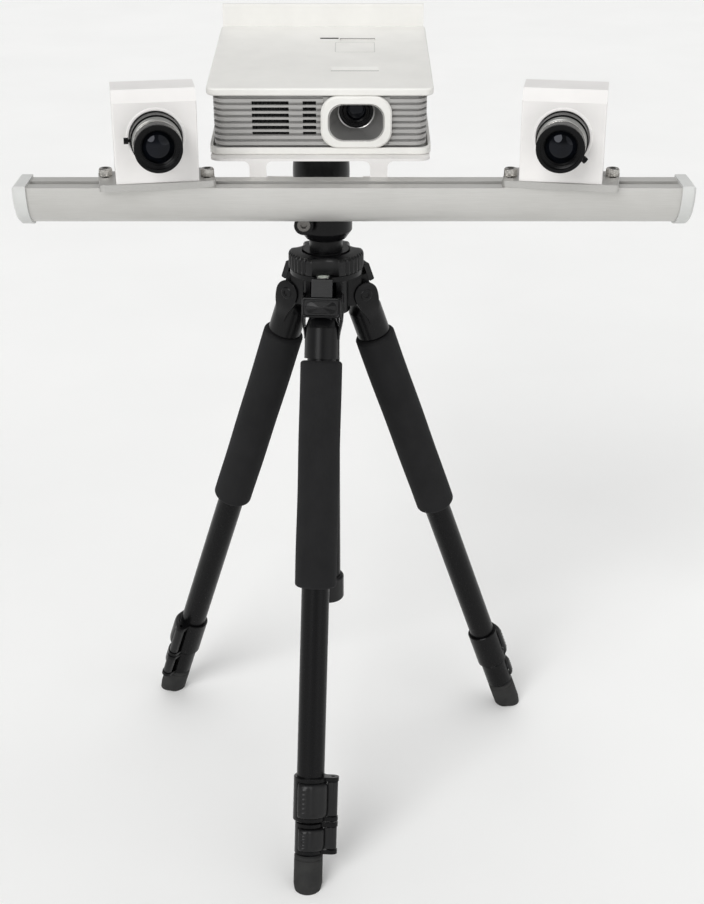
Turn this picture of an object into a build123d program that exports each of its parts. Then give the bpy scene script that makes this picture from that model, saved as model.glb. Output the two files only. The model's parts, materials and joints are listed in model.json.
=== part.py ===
from build123d import *
from math import cos, radians, sin, sqrt
import os

# Structured-light 3-D scanner on a tripod, in millimetres.
# Origin: on the floor, under the centre column. +Z up. The lenses look along -Y, and +X is to
# the right of someone who faces them.

# ---------------------------------------------------------------- driving dimensions
# Tripod legs
LEG_AZIMUTHS = {"front": -94.66, "right": 25.34, "left": 145.34}
LEG_SPREAD = 19.97            # each leg from the vertical
HINGE_RADIUS = 29.5           # leg hinge from the column axis
HINGE_HEIGHT = 460.2
LEG_LENGTH = 489.65           # hinge to the middle of the foot, on the floor
TONGUE_WIDTH = 20.6           # leg casting between the spider's ears
EAR_WIDTH = 4.0
EAR_RADIUS = 8.0
PIVOT_RADIUS = 3.0
SOCKET_WALL = 2.55            # leg casting around the upper tube
SOCKET_TOP = 18.0             # distances down the leg are counted from the hinge
SOCKET_BOTTOM = 43.0
UPPER_TUBE_RADIUS = 11.65
SOCKET_RADIUS = UPPER_TUBE_RADIUS + SOCKET_WALL
MIDDLE_TUBE_RADIUS = 9.7
FOOT_TUBE_RADIUS = 7.8
TUBE_WALL = 1.4
FOAM_WALL = 5.75
FOAM_TOP = 45.0
FOAM_BOTTOM = 233.0
UPPER_CLAMP_TOP = 393.5
UPPER_CLAMP_BOTTOM = 431.0
LOWER_CLAMP_TOP = 432.5
LOWER_CLAMP_BOTTOM = 459.5
FOOT_TOP = 460.5
FOOT_WALL = 4.4
CLAMP_WALL = 2.4
LEVER_PIVOT_REACH = 4.95      # lever pivot outside the upper clamp
LEVER_PIVOT_OUT = UPPER_TUBE_RADIUS + CLAMP_WALL + LEVER_PIVOT_REACH
LEVER_THICKNESS = 3.0
LEVER_INSET = 3.5             # height of a clamp's ear, above and below its lever
EAR_GAP = 0.4                 # side clearance of a lever or a tongue
RUNNING_GAP = 0.06            # radial, shaft in hole
SLIDING_GAP = 0.35            # radial, tube in tube

# Spider and centre column
COLUMN_RADIUS = 11.0
COLUMN_BOTTOM = 176.0
COLUMN_WALL = 1.6
COLUMN_CAP_RADIUS = 14.0
COLUMN_CAP_HEIGHT = 24.0
HUB_RADIUS = 20.0
HUB_BOTTOM = 448.0
FLANGE_RADIUS = 30.0
FLANGE_THICKNESS = 4.1
SPIDER_TOP = 484.6
COLLAR_RADIUS = 31.3
COLLAR_BOTTOM = 485.0
COLLAR_TOP = 499.6
COLLAR_LOBES = 3
TOP_PLATE_RADIUS = 19.0
TOP_PLATE_THICKNESS = 6.0

# Head
NECK_RADIUS = 13.7
NECK_TOP = 510.0
HEAD_RADIUS = 21.75
HEAD_TOP = 552.0
BALL_RADIUS = 16.0
BALL_HEIGHT = 543.0
BALL_GAP = 0.3
STEM_RADIUS = 5.5
PLATFORM_BOTTOM = 559.0
PLATFORM_X = -3.4             # platform from the ball's axis
PLATFORM_RADIUS = 23.0
PLATFORM_TOP_RADIUS = 20.5
CLAMP_BOSS_RADIUS = 7.8
CLAMP_BOSS_X = -17.5
CLAMP_BOSS_HEIGHT = 527.0
CLAMP_BOSS_FRONT = -25.0
LOCK_KNOB_RADIUS = 11.0
LOCK_KNOB_HEIGHT = 531.0

# Rail
RAIL_CENTRE_X = 23.0
RAIL_LENGTH = 520.0           # over the end caps
RAIL_TOP = 575.0
RAIL_FRONT = -86.0            # front edge of the flat top
RAIL_BACK = -54.0
RAIL_HEIGHT = 34.0
RAIL_TOE = 3.0                # flat underside, at the back
RAIL_WALL = 2.4
END_CAP_THICKNESS = 10.5
END_CAP_LIP = 1.8
SLOT_Y = -70.5                # middle of the top T-slot
SLOT_MOUTH = 8.2
SLOT_LIP = 2.2
SLOT_CAVITY_WIDTH = 14.4
SLOT_CAVITY_DEPTH = 5.6
BACK_SLOT_HEIGHT = 561.0
M6_RADIUS = 3.0
M6_HEAD_RADIUS = 5.0
M6_HEAD_HEIGHT = 6.0
M6_CLEARANCE = 3.3

# Cameras
CAMERA_X = {"left": -128.2, "right": 182.0}
TOE_IN = 9.5
TOE_IN_TRAVEL = 5.0           # each way, what the curved slots allow
PLATE_LENGTH = 88.0
PLATE_THICKNESS = 5.5
PLATE_FRONT = 21.0            # plate edges from the slot line
PLATE_REAR = 19.5
CLAMP_SCREW_SPACING = 78.0
HOUSING_WIDTH = 62.5
HOUSING_DEPTH = 39.0
HOUSING_HEIGHT = 69.0
HOUSING_BEVEL = 8.4
HOUSING_WALL = 1.6
LENS_HEIGHT = 615.0
LENS_HOLE_RADIUS = 21.0
REAR_RING_RADIUS = 19.5
FOCUS_RING_RADIUS = 18.4
BARREL_RADIUS = 17.7
LENS_REACH = 37.0             # front of the lens ahead of the housing
FILTER_THREAD_RADIUS = 15.25
FILTER_THREAD_LENGTH = 4.0
CAMERA_CUBE = 29.0

# Projector and its cradle
PROJECTOR_X = -3.2
PROJECTOR_FRONT = -43.0
PROJECTOR_TILT = 5.2          # nose down
CRADLE_PLATE_BOTTOM = 587.5
CRADLE_THICKNESS = 2.0
BASE_WIDTH = 172.7
BASE_DEPTH = 172.0
COVER_WIDTH = 175.0
COVER_DEPTH = 180.0
LOUVRE_WIDTH = 165.4
LOUVRE_DEPTH = 168.0
LOUVRE_INSET = 2.5
BASE_RISE = 5.7               # base shell above the cradle, at the front
BODY_RISE = 47.0              # underside of the cover above the cradle, at the front
COVER_HEIGHT = 6.0
REAR_BAND_RISE = 18.5
REAR_BAND_DEPTH = 4.0
SHELL_WALL = 2.2
FIN_COUNT = 8
FIN_PITCH = 4.85
FIN_THICKNESS = 2.7
FIN_REACH = 2.6
WINDOW_BAR_DEPTH = 1.7        # fins across a vent window
WINDOW_BAR_THICKNESS = 1.7
VENT_WINDOWS = ((-52.7, -24.1), (-13.4, -3.0))
COVER_RECESSES = ((-2.0, 13.5, 137.5, 141.0, 1.9), (14.5, 44.0, 127.0, 139.5, 1.3))
FINGER_RECESS = (8.0, 46.0, 45.5, 57.5, 1.6)     # a ramp down to a step
BEZEL_X = 24.8
BEZEL_WIDTH = 55.0
BEZEL_HEIGHT = 41.0
BEZEL_THICKNESS = 4.0           # ahead of the louvres
BEZEL_OPENING_WIDTH = 44.0
BEZEL_OPENING_HEIGHT = 30.0
BEZEL_RISE = 26.5             # middle of the bezel above the cradle
PROJECTOR_LENS_RADIUS = 10.6
PROJECTOR_RING_WALL = 1.7     # focus ring around the lens
PROJECTOR_LENS_RECESS = 20.0  # behind the bezel's face
PROJECTOR_LENS_RAISE = 2.5    # lens axis above the bezel's middle
FUNNEL_DEPTH = 24.0

# ---------------------------------------------------------------- helpers
def save(node, *solids):
    """Write one sub-part, a single solid or a group of separate ones."""
    shape = solids[0] if len(solids) == 1 else Compound(children=list(solids))
    export_step(shape, f"parts/{node}.step")


def block(x0, x1, y0, y1, z0, z1):
    """Box between two corners."""
    return Pos((x0 + x1) / 2, (y0 + y1) / 2, (z0 + z1) / 2) * Box(x1 - x0, y1 - y0, z1 - z0)


def disc(radius, z0, z1, x=0.0, y=0.0):
    """Upright cylinder between two heights."""
    return Pos(x, y, (z0 + z1) / 2) * Cylinder(radius, z1 - z0)


def ring(outer, inner, z0, z1, x=0.0, y=0.0):
    return disc(outer, z0, z1, x, y) - disc(inner, z0, z1, x, y)


def rod_y(radius, y0, y1, x, z):
    """Cylinder along Y."""
    return Pos(x, (y0 + y1) / 2, z) * Rot(90, 0, 0) * Cylinder(radius, y1 - y0)


def rod_x(radius, x0, x1, y, z):
    """Cylinder along X."""
    return Pos((x0 + x1) / 2, y, z) * Rot(0, 90, 0) * Cylinder(radius, x1 - x0)


def rounded_slab(width, depth, radius, z0, z1):
    """Slab with rounded upright corners, its front edge on y = 0."""
    return extrude(Pos(0, depth / 2, z0) * RectangleRounded(width, depth, radius), z1 - z0)


def socket_screw(length, head_radius=M6_HEAD_RADIUS, head_height=M6_HEAD_HEIGHT, radius=M6_RADIUS):
    """Cap screw along -Z: its head stands on z = 0 and its shank hangs below."""
    screw = disc(head_radius, 0, head_height) + disc(radius, -length, 0)
    screw = chamfer(screw.faces().sort_by(Axis.Z)[-1].edges(), 0.5)
    return screw - extrude(Pos(0, 0, head_height / 2) * RegularPolygon(radius * 0.96, 6), head_height)


# ---------------------------------------------------------------- legs
# A leg is drawn upright: hinge at the origin, leg down -Z, outer side -Y, lever side +X.
def leg_place(azimuth):
    return Rot(0, 0, azimuth + 90) * Pos(0, -HINGE_RADIUS, HINGE_HEIGHT) * Rot(-LEG_SPREAD, 0, 0)


def tube(outer, top, bottom):
    return ring(outer, outer - TUBE_WALL, -bottom, -top)


def leg_casting():
    """Tongue on the hinge, shoulder, and the socket that holds the upper tube."""
    half = TONGUE_WIDTH / 2
    tongue = rod_x(EAR_RADIUS, -half, half, 0, 0)
    neck = block(-half, half, -EAR_RADIUS, EAR_RADIUS, -SOCKET_TOP - 2, 0)
    arm = block(-8.5, 8.5, -9, -3, -SOCKET_TOP, 14)
    shoulder = loft([Pos(0, 0, -8) * Rectangle(TONGUE_WIDTH, 2 * EAR_RADIUS),
                     Pos(0, 0, -SOCKET_TOP) * Circle(SOCKET_RADIUS)])
    casting = tongue + neck + shoulder + arm + disc(SOCKET_RADIUS, -SOCKET_BOTTOM, -SOCKET_TOP)
    casting -= disc(UPPER_TUBE_RADIUS, -SOCKET_BOTTOM, -SOCKET_TOP - 6)
    return casting - rod_x(PIVOT_RADIUS + RUNNING_GAP, -half, half, 0, 0)


def angle_stop():
    """Ribbed pull-tab that rests on the spider's rim and sets the spread."""
    tab = block(-8.5, 8.5, -14, -9.2, 6, 22)
    tab = fillet(tab.edges().filter_by(Axis.X), 1.2)
    for row in range(4):
        tab -= block(-6.5, 6.5, -14, -13.4, 8.6 + row * 3.2, 9.8 + row * 3.2)
    return tab


def clamp(tube_radius, inner_radius, top, bottom):
    """Flip-lock body: a collar on the end of one tube, with two ears for the lever's pin.

    It grips the tube of tube_radius, and the next tube slides through inner_radius."""
    outer = tube_radius + CLAMP_WALL
    low, high = -bottom + LEVER_INSET, -top - LEVER_INSET
    collar = disc(outer, -bottom, -top)
    collar = chamfer(collar.edges().filter_by(GeomType.CIRCLE), 0.6)
    bridge = block(0, LEVER_PIVOT_OUT, -5, 5, -bottom, -top)
    eye = disc(5.0, -bottom, -top, x=LEVER_PIVOT_OUT)
    body = collar + bridge + eye
    body -= block(outer + 0.1, LEVER_PIVOT_OUT + 6, -7, 7, low, high)
    body -= disc(tube_radius, -bottom + 5, -top)
    body -= disc(inner_radius + SLIDING_GAP, -bottom, -top)
    body -= disc(1.6 + RUNNING_GAP, -bottom, -top, x=LEVER_PIVOT_OUT)
    relief = ring(outer + LEVER_THICKNESS + 3, outer - 0.8, low, high)
    return body - (relief & block(-outer * 0.7, LEVER_PIVOT_OUT, -outer - 9, -2.4, low, high))


def lever(tube_radius, top, bottom):
    """Cam lever: a pinned barrel in the ears and a curved plate that wraps the outer side."""
    outer = tube_radius + CLAMP_WALL
    low, high = -bottom + LEVER_INSET + EAR_GAP, -top - LEVER_INSET - EAR_GAP
    barrel = disc(4.4, low, high, x=LEVER_PIVOT_OUT)
    shell = ring(outer + LEVER_THICKNESS, outer - 0.4, low, high)
    plate = shell & block(-outer * 0.55, LEVER_PIVOT_OUT - 1, -outer - 5, -3.2, low, high)
    web = block(outer - 3, LEVER_PIVOT_OUT, -6.4, -3.0, low, high) - disc(outer - 0.4, low, high)
    body = plate + web + barrel
    pin = disc(1.6, -bottom + 0.4, -top - 0.4, x=LEVER_PIVOT_OUT)
    return body + pin


def foot():
    """Rubber foot: a sleeve on the last tube, cut flat by the floor."""
    sleeve = disc(FOOT_TUBE_RADIUS + FOOT_WALL, -LEG_LENGTH - 6, -FOOT_TOP)
    return sleeve - disc(FOOT_TUBE_RADIUS, -LEG_LENGTH + 10, -FOOT_TOP)


def make_leg(name, azimuth):
    place = leg_place(azimuth)
    floor = block(-400, 400, -400, 400, -60, 0)
    save(f"{name}_leg_casting", place * leg_casting())
    save(f"{name}_angle_stop", place * angle_stop())
    upper = tube(UPPER_TUBE_RADIUS, SOCKET_TOP + 6, UPPER_CLAMP_BOTTOM - 5)
    upper_clamp = clamp(UPPER_TUBE_RADIUS, MIDDLE_TUBE_RADIUS, UPPER_CLAMP_TOP, UPPER_CLAMP_BOTTOM)
    save(f"{name}_upper_tube", place * upper, place * upper_clamp)
    foam = ring(UPPER_TUBE_RADIUS + FOAM_WALL, UPPER_TUBE_RADIUS, -FOAM_BOTTOM, -FOAM_TOP)
    rims = foam.edges().filter_by(GeomType.CIRCLE).sort_by(SortBy.RADIUS)[-2:]
    save(f"{name}_foam_grip", place * fillet(rims, 0.7 * FOAM_WALL))
    save(f"{name}_upper_lever", place * lever(UPPER_TUBE_RADIUS, UPPER_CLAMP_TOP, UPPER_CLAMP_BOTTOM))
    middle = tube(MIDDLE_TUBE_RADIUS, SOCKET_BOTTOM + 8, LOWER_CLAMP_BOTTOM - 5)
    lower_clamp = clamp(MIDDLE_TUBE_RADIUS, FOOT_TUBE_RADIUS, LOWER_CLAMP_TOP, LOWER_CLAMP_BOTTOM)
    save(f"{name}_middle_tube", place * middle, place * lower_clamp)
    save(f"{name}_lower_lever", place * lever(MIDDLE_TUBE_RADIUS, LOWER_CLAMP_TOP, LOWER_CLAMP_BOTTOM))
    save(f"{name}_foot_tube", place * tube(FOOT_TUBE_RADIUS, SOCKET_BOTTOM + 16, LEG_LENGTH - 10))
    save(f"{name}_rubber_foot", place * foot() - floor)


# ---------------------------------------------------------------- spider and centre column
def spider_casting():
    """Hub around the column, a rim on top, and a pair of ears for each leg."""
    flange = disc(FLANGE_RADIUS, SPIDER_TOP - FLANGE_THICKNESS, SPIDER_TOP)
    body = disc(HUB_RADIUS, HUB_BOTTOM, SPIDER_TOP) + flange
    inner = TONGUE_WIDTH / 2 + EAR_GAP
    for azimuth in LEG_AZIMUTHS.values():
        turn = Rot(0, 0, azimuth + 90)
        for side in (-1, 1):
            x0, x1 = sorted((side * inner, side * (inner + EAR_WIDTH)))
            ear = rod_x(EAR_RADIUS, x0, x1, -HINGE_RADIUS, HINGE_HEIGHT)
            ear += block(x0, x1, -HINGE_RADIUS, 0, HINGE_HEIGHT - EAR_RADIUS, HINGE_HEIGHT + EAR_RADIUS)
            ear += block(x0, x1, -HINGE_RADIUS + 4, 0, HINGE_HEIGHT, SPIDER_TOP - 1)
            body += turn * ear
    for azimuth in LEG_AZIMUTHS.values():
        turn = Rot(0, 0, azimuth + 90)
        sweep = block(-inner, inner, -60, -HUB_RADIUS, HUB_BOTTOM, SPIDER_TOP - FLANGE_THICKNESS)
        body -= turn * sweep
        body -= turn * rod_x(PIVOT_RADIUS + RUNNING_GAP, -30, 30, -HINGE_RADIUS, HINGE_HEIGHT)
    return body - disc(COLUMN_RADIUS + RUNNING_GAP, HUB_BOTTOM, SPIDER_TOP)


def pivot_bolt():
    """Hinge bolt of one leg, along X, with a wide low head at each end."""
    half = TONGUE_WIDTH / 2 + EAR_GAP + EAR_WIDTH
    bolt = rod_x(PIVOT_RADIUS, -half, half, -HINGE_RADIUS, HINGE_HEIGHT)
    for x0, x1 in ((-half - 1.2, -half), (half, half + 1.2)):
        bolt += rod_x(6.0, x0, x1, -HINGE_RADIUS, HINGE_HEIGHT)
    return bolt


def lock_collar():
    """Column lock: a lobed ring with a recess for the column's top plate."""
    blank = disc(COLLAR_RADIUS, COLLAR_BOTTOM, COLLAR_TOP)
    for lobe in range(COLLAR_LOBES):
        angle = -90 + lobe * 360 / COLLAR_LOBES
        scoop = disc(16.0, COLLAR_BOTTOM, COLLAR_TOP, x=COLLAR_RADIUS + 9.5)
        blank -= Rot(0, 0, angle) * scoop
    blank = chamfer(blank.faces().sort_by(Axis.Z)[-1].edges(), 1.0)
    blank -= disc(TOP_PLATE_RADIUS + 0.4, COLLAR_TOP - TOP_PLATE_THICKNESS + 0.4, COLLAR_TOP)
    return blank - disc(COLUMN_RADIUS + SLIDING_GAP, COLLAR_BOTTOM, COLLAR_TOP)


TOP_PLATE_BOTTOM = COLLAR_TOP + 0.8 - TOP_PLATE_THICKNESS
TOP_PLATE_TOP = TOP_PLATE_BOTTOM + TOP_PLATE_THICKNESS


def top_plate():
    """Plate on the column with the 3/8 inch stud that carries the head."""
    return disc(TOP_PLATE_RADIUS, TOP_PLATE_BOTTOM, TOP_PLATE_TOP) + disc(4.76, TOP_PLATE_TOP, NECK_TOP - 1)


def centre_column():
    return ring(COLUMN_RADIUS, COLUMN_RADIUS - COLUMN_WALL, COLUMN_BOTTOM + 6, TOP_PLATE_BOTTOM)


def column_end_cap():
    """Moulded end cap of the column."""
    bottom = COLUMN_BOTTOM - 7
    cap = disc(COLUMN_CAP_RADIUS, bottom, bottom + COLUMN_CAP_HEIGHT)
    cap = fillet(cap.edges().filter_by(GeomType.CIRCLE), 2.5)
    return cap - disc(COLUMN_RADIUS, COLUMN_BOTTOM + 6, COLUMN_BOTTOM + 40)


# ---------------------------------------------------------------- head
def pan_base():
    """Round foot of the head: it screws on the stud and carries the turning housing."""
    base = disc(NECK_RADIUS, TOP_PLATE_TOP, NECK_TOP) + disc(9.0, NECK_TOP, NECK_TOP + 8)
    return base - disc(4.76, TOP_PLATE_TOP, NECK_TOP - 1)


def head_housing():
    """Turning housing: a socket for the ball, a split clamp boss and a knob boss."""
    bottom = NECK_TOP + 0.4
    outline = Polyline((0, bottom), (HEAD_RADIUS - 5, bottom), (HEAD_RADIUS, bottom + 7),
                       (HEAD_RADIUS, HEAD_TOP - 7), (HEAD_RADIUS - 4.5, HEAD_TOP), (0, HEAD_TOP), close=True)
    body = revolve(Plane.XZ * make_face(outline), Axis.Z)
    body += rod_y(CLAMP_BOSS_RADIUS, CLAMP_BOSS_FRONT, 6, CLAMP_BOSS_X, CLAMP_BOSS_HEIGHT)
    body += rod_y(8.0, 0, HEAD_RADIUS + 3, 0, LOCK_KNOB_HEIGHT)
    body -= Pos(0, 0, BALL_HEIGHT) * Sphere(BALL_RADIUS + BALL_GAP)
    body -= disc(9.0 + RUNNING_GAP, bottom, NECK_TOP + 9)
    body -= rod_y(5.4, CLAMP_BOSS_FRONT - 1, CLAMP_BOSS_FRONT + 5, CLAMP_BOSS_X, CLAMP_BOSS_HEIGHT)
    return body - rod_y(3.0 + RUNNING_GAP, HEAD_RADIUS - 6, HEAD_RADIUS + 4, 0, LOCK_KNOB_HEIGHT)


def clamp_bolt():
    """Socket screw that sets the head's friction."""
    seat = CLAMP_BOSS_FRONT + 5
    head = rod_y(5.3, CLAMP_BOSS_FRONT + 0.8, seat, CLAMP_BOSS_X, CLAMP_BOSS_HEIGHT)
    drive = extrude(Plane.XZ * RegularPolygon(2.9, 6), 8)
    return head - Pos(CLAMP_BOSS_X, seat - 2, CLAMP_BOSS_HEIGHT) * drive


def lock_knob():
    """Grooved knob behind the head, on a screw that presses on the ball."""
    start = HEAD_RADIUS + 3.4
    knob = rod_y(LOCK_KNOB_RADIUS, start, start + 16, 0, LOCK_KNOB_HEIGHT)
    for flute in range(10):
        angle = radians(flute * 36)
        x = (LOCK_KNOB_RADIUS + 1.2) * cos(angle)
        z = LOCK_KNOB_HEIGHT + (LOCK_KNOB_RADIUS + 1.2) * sin(angle)
        knob -= rod_y(2.2, start + 2, start + 16, x, z)
    return knob + rod_y(3.0, HEAD_RADIUS - 5, start, 0, LOCK_KNOB_HEIGHT)


def head_ball():
    stem = disc(STEM_RADIUS, BALL_HEIGHT, PLATFORM_BOTTOM)
    return Pos(0, 0, BALL_HEIGHT) * Sphere(BALL_RADIUS) + stem


def head_platform():
    """Domed black platform under the projector's plate."""
    middle = (PLATFORM_BOTTOM + CRADLE_PLATE_BOTTOM) / 2
    side = ThreePointArc((PLATFORM_RADIUS, PLATFORM_BOTTOM + 2), (PLATFORM_RADIUS - 0.4, middle + 2),
                         (PLATFORM_TOP_RADIUS, CRADLE_PLATE_BOTTOM))
    rest = Polyline((PLATFORM_TOP_RADIUS, CRADLE_PLATE_BOTTOM), (0, CRADLE_PLATE_BOTTOM),
                    (0, PLATFORM_BOTTOM), (PLATFORM_RADIUS - 2, PLATFORM_BOTTOM),
                    (PLATFORM_RADIUS, PLATFORM_BOTTOM + 2))
    return Pos(PLATFORM_X, 0, 0) * revolve(Plane.XZ * make_face([side, rest]), Axis.Z)


# ---------------------------------------------------------------- rail
def rail_section(grow):
    """Flat top and back, and a face that curves from the front edge down to the back's foot.

    grow is the offset of the outline: outward for the end caps, inward for the hollow."""
    back, front, top = RAIL_BACK + grow, RAIL_FRONT - grow, RAIL_TOP + grow
    bottom = RAIL_TOP - RAIL_HEIGHT - grow
    toe = RAIL_BACK - RAIL_TOE
    belly = (toe - (toe - front) * sqrt(0.5), top - (top - bottom) * sqrt(0.5))
    face = ThreePointArc((front, top), belly, (toe, bottom))
    rest = Polyline((toe, bottom), (back, bottom), (back, top), (front, top))
    return make_face([face, rest])


def along_rail(section, x0, x1):
    return Pos(x0, 0, 0) * extrude(Plane.YZ * section, x1 - x0)


def t_slot(x0, x1):
    """The space of the top slot: a mouth between two lips and a wider cavity."""
    half = SLOT_MOUTH / 2
    wide = SLOT_CAVITY_WIDTH / 2
    mouth = block(x0, x1, SLOT_Y - half, SLOT_Y + half, RAIL_TOP - SLOT_LIP, RAIL_TOP + 5)
    low = RAIL_TOP - SLOT_LIP - SLOT_CAVITY_DEPTH
    return mouth + block(x0, x1, SLOT_Y - wide, SLOT_Y + wide, low, RAIL_TOP - SLOT_LIP)


def back_slot(x0, x1):
    half = SLOT_MOUTH / 2
    wide = SLOT_CAVITY_WIDTH / 2
    mouth = block(x0, x1, RAIL_BACK - SLOT_LIP, RAIL_BACK + 5, BACK_SLOT_HEIGHT - half, BACK_SLOT_HEIGHT + half)
    deep = RAIL_BACK - SLOT_LIP - SLOT_CAVITY_DEPTH
    return mouth + block(x0, x1, deep, RAIL_BACK - SLOT_LIP, BACK_SLOT_HEIGHT - wide, BACK_SLOT_HEIGHT + wide)


RAIL_X0 = RAIL_CENTRE_X - RAIL_LENGTH / 2 + END_CAP_THICKNESS
RAIL_X1 = RAIL_CENTRE_X + RAIL_LENGTH / 2 - END_CAP_THICKNESS


def rail_hollow(x0, x1, gap):
    """Space behind the curved face, clear of both slots; gap is the clearance of what fits in it."""
    low = RAIL_TOP - SLOT_LIP - SLOT_CAVITY_DEPTH - RAIL_WALL - gap
    behind = RAIL_BACK - SLOT_LIP - SLOT_CAVITY_DEPTH - RAIL_WALL - gap
    return along_rail(rail_section(-RAIL_WALL - gap), x0, x1) & block(x0, x1, -200, behind, 0, low)


def rail_profile():
    body = along_rail(rail_section(0), RAIL_X0, RAIL_X1)
    body -= t_slot(RAIL_X0, RAIL_X1) + back_slot(RAIL_X0, RAIL_X1)
    return body - rail_hollow(RAIL_X0, RAIL_X1, 0)


def end_cap(side):
    """Moulded cap: a plate larger than the rail, and a plug in its hollow."""
    x0, x1 = (RAIL_X1, RAIL_X1 + END_CAP_THICKNESS) if side > 0 else (RAIL_X0 - END_CAP_THICKNESS, RAIL_X0)
    cap = along_rail(rail_section(END_CAP_LIP), x0, x1)
    outer_face = cap.faces().sort_by(Axis.X)[-1 if side > 0 else 0]
    cap = chamfer(outer_face.edges(), 2.0)
    p0, p1 = (RAIL_X1 - 12, RAIL_X1) if side > 0 else (RAIL_X0, RAIL_X0 + 12)
    return cap + rail_hollow(p0, p1, 0.3)


# ---------------------------------------------------------------- cameras
# A camera is drawn looking straight along -Y, with the slot line as its local y = 0.
HOUSING_FRONT = -PLATE_FRONT + 1.2
PLATE_TOP = PLATE_THICKNESS
HOUSING_TOP = PLATE_TOP + HOUSING_HEIGHT
LENS_Z = LENS_HEIGHT - RAIL_TOP


def camera_place(name):
    turn = TOE_IN if name == "left" else -TOE_IN
    return Pos(CAMERA_X[name], SLOT_Y, RAIL_TOP) * Rot(0, 0, turn)


def camera_plate(name):
    """Base plate with two curved slots around the clamp screws."""
    plate = extrude(Pos(0, (PLATE_REAR - PLATE_FRONT) / 2) *
                    RectangleRounded(PLATE_LENGTH, PLATE_FRONT + PLATE_REAR, 4.0), PLATE_THICKNESS)
    turn = TOE_IN if name == "left" else -TOE_IN
    for side in (0, 180):
        sweep = CenterArc((0, 0), CLAMP_SCREW_SPACING / 2, side - turn - TOE_IN_TRAVEL, 2 * TOE_IN_TRAVEL)
        plate -= extrude(SlotArc(sweep, 2 * M6_CLEARANCE), PLATE_THICKNESS)
    return chamfer(plate.faces().sort_by(Axis.Z)[-1].outer_wire().edges(), 0.4)


def camera_housing():
    """Folded sheet cover: bevelled top front, open below, round hole for the lens."""
    half = HOUSING_WIDTH / 2
    front, back = HOUSING_FRONT, HOUSING_FRONT + HOUSING_DEPTH
    side = Polyline((front, PLATE_TOP), (front, HOUSING_TOP - HOUSING_BEVEL),
                    (front + HOUSING_BEVEL, HOUSING_TOP), (back, HOUSING_TOP), (back, PLATE_TOP), close=True)
    outer = Pos(-half, 0, 0) * extrude(Plane.YZ * make_face(side), HOUSING_WIDTH)
    outer = fillet(outer.edges().filter_by(Axis.Z) + outer.edges().filter_by(Axis.X).sort_by(Axis.Z)[-2:], 1.0)
    wall = HOUSING_WALL
    slack = wall * 0.414
    core = Polyline((front + wall, PLATE_TOP - 1), (front + wall, HOUSING_TOP - HOUSING_BEVEL - slack),
                    (front + HOUSING_BEVEL + slack, HOUSING_TOP - wall), (back - wall, HOUSING_TOP - wall),
                    (back - wall, PLATE_TOP - 1), close=True)
    inner = Pos(-half + wall, 0, 0) * extrude(Plane.YZ * make_face(core), HOUSING_WIDTH - 2 * wall)
    return outer - inner - rod_y(LENS_HOLE_RADIUS, front - 2, front + 4, 0, LENS_Z)


BARREL_FRONT = HOUSING_FRONT - LENS_REACH
REAR_RING_FRONT = HOUSING_FRONT - 12.0
FOCUS_RING_FRONT = HOUSING_FRONT - 24.0


def camera_module():
    """Sensor cube on a foot, and the fixed lens barrel with its filter thread."""
    half = CAMERA_CUBE / 2
    cube = block(-half, half, HOUSING_FRONT + 6, HOUSING_FRONT + 6 + CAMERA_CUBE, LENS_Z - half, LENS_Z + half)
    foot_block = block(-10, 10, HOUSING_FRONT + 8, HOUSING_FRONT + 32, PLATE_TOP, LENS_Z - half)
    rear = rod_y(REAR_RING_RADIUS, REAR_RING_FRONT, HOUSING_FRONT - 3.0, 0, LENS_Z)
    mount = rod_y(14.0, HOUSING_FRONT - 3.0, HOUSING_FRONT + 6, 0, LENS_Z)
    core = rod_y(15.6, FOCUS_RING_FRONT, REAR_RING_FRONT, 0, LENS_Z)
    front = rod_y(BARREL_RADIUS, BARREL_FRONT, FOCUS_RING_FRONT, 0, LENS_Z)
    front -= rod_y(FILTER_THREAD_RADIUS, BARREL_FRONT, BARREL_FRONT + FILTER_THREAD_LENGTH, 0, LENS_Z)
    glass_seat = rod_y(13.2, BARREL_FRONT, BARREL_FRONT + 7.5, 0, LENS_Z)
    front -= glass_seat - rod_y(13.2, BARREL_FRONT, BARREL_FRONT + FILTER_THREAD_LENGTH, 0, LENS_Z)
    return cube + foot_block, rear + mount + core + front


def focus_ring():
    """Knurled ring that turns on the barrel."""
    body = rod_y(FOCUS_RING_RADIUS, FOCUS_RING_FRONT + 0.3, REAR_RING_FRONT - 0.3, 0, LENS_Z)
    return body - rod_y(15.6 + RUNNING_GAP, FOCUS_RING_FRONT, REAR_RING_FRONT, 0, LENS_Z)


def lens_screw(angle):
    """Small thumb screw that locks the focus, on the rear ring."""
    y = (REAR_RING_FRONT + HOUSING_FRONT - 3.0) / 2
    screw = rod_x(1.2, REAR_RING_RADIUS, REAR_RING_RADIUS + 1.2, y, 0)
    screw += rod_x(2.4, REAR_RING_RADIUS + 1.2, REAR_RING_RADIUS + 4.6, y, 0)
    return Pos(0, 0, LENS_Z) * Rot(0, -angle, 0) * screw


def clamp_screws(name):
    """Two M6 cap screws on the slot line, each in its T-nut."""
    solids = []
    for side in (-1, 1):
        x = CAMERA_X[name] + side * CLAMP_SCREW_SPACING / 2
        nut_top = RAIL_TOP - SLOT_LIP - 0.1
        screw = Pos(x, SLOT_Y, RAIL_TOP + PLATE_TOP + 0.1) * socket_screw(PLATE_TOP + SLOT_LIP + 4)
        nut = block(x - 6.5, x + 6.5, SLOT_Y - 6.6, SLOT_Y + 6.6, nut_top - 4.6, nut_top)
        solids.append(screw + nut)
    return solids


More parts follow.
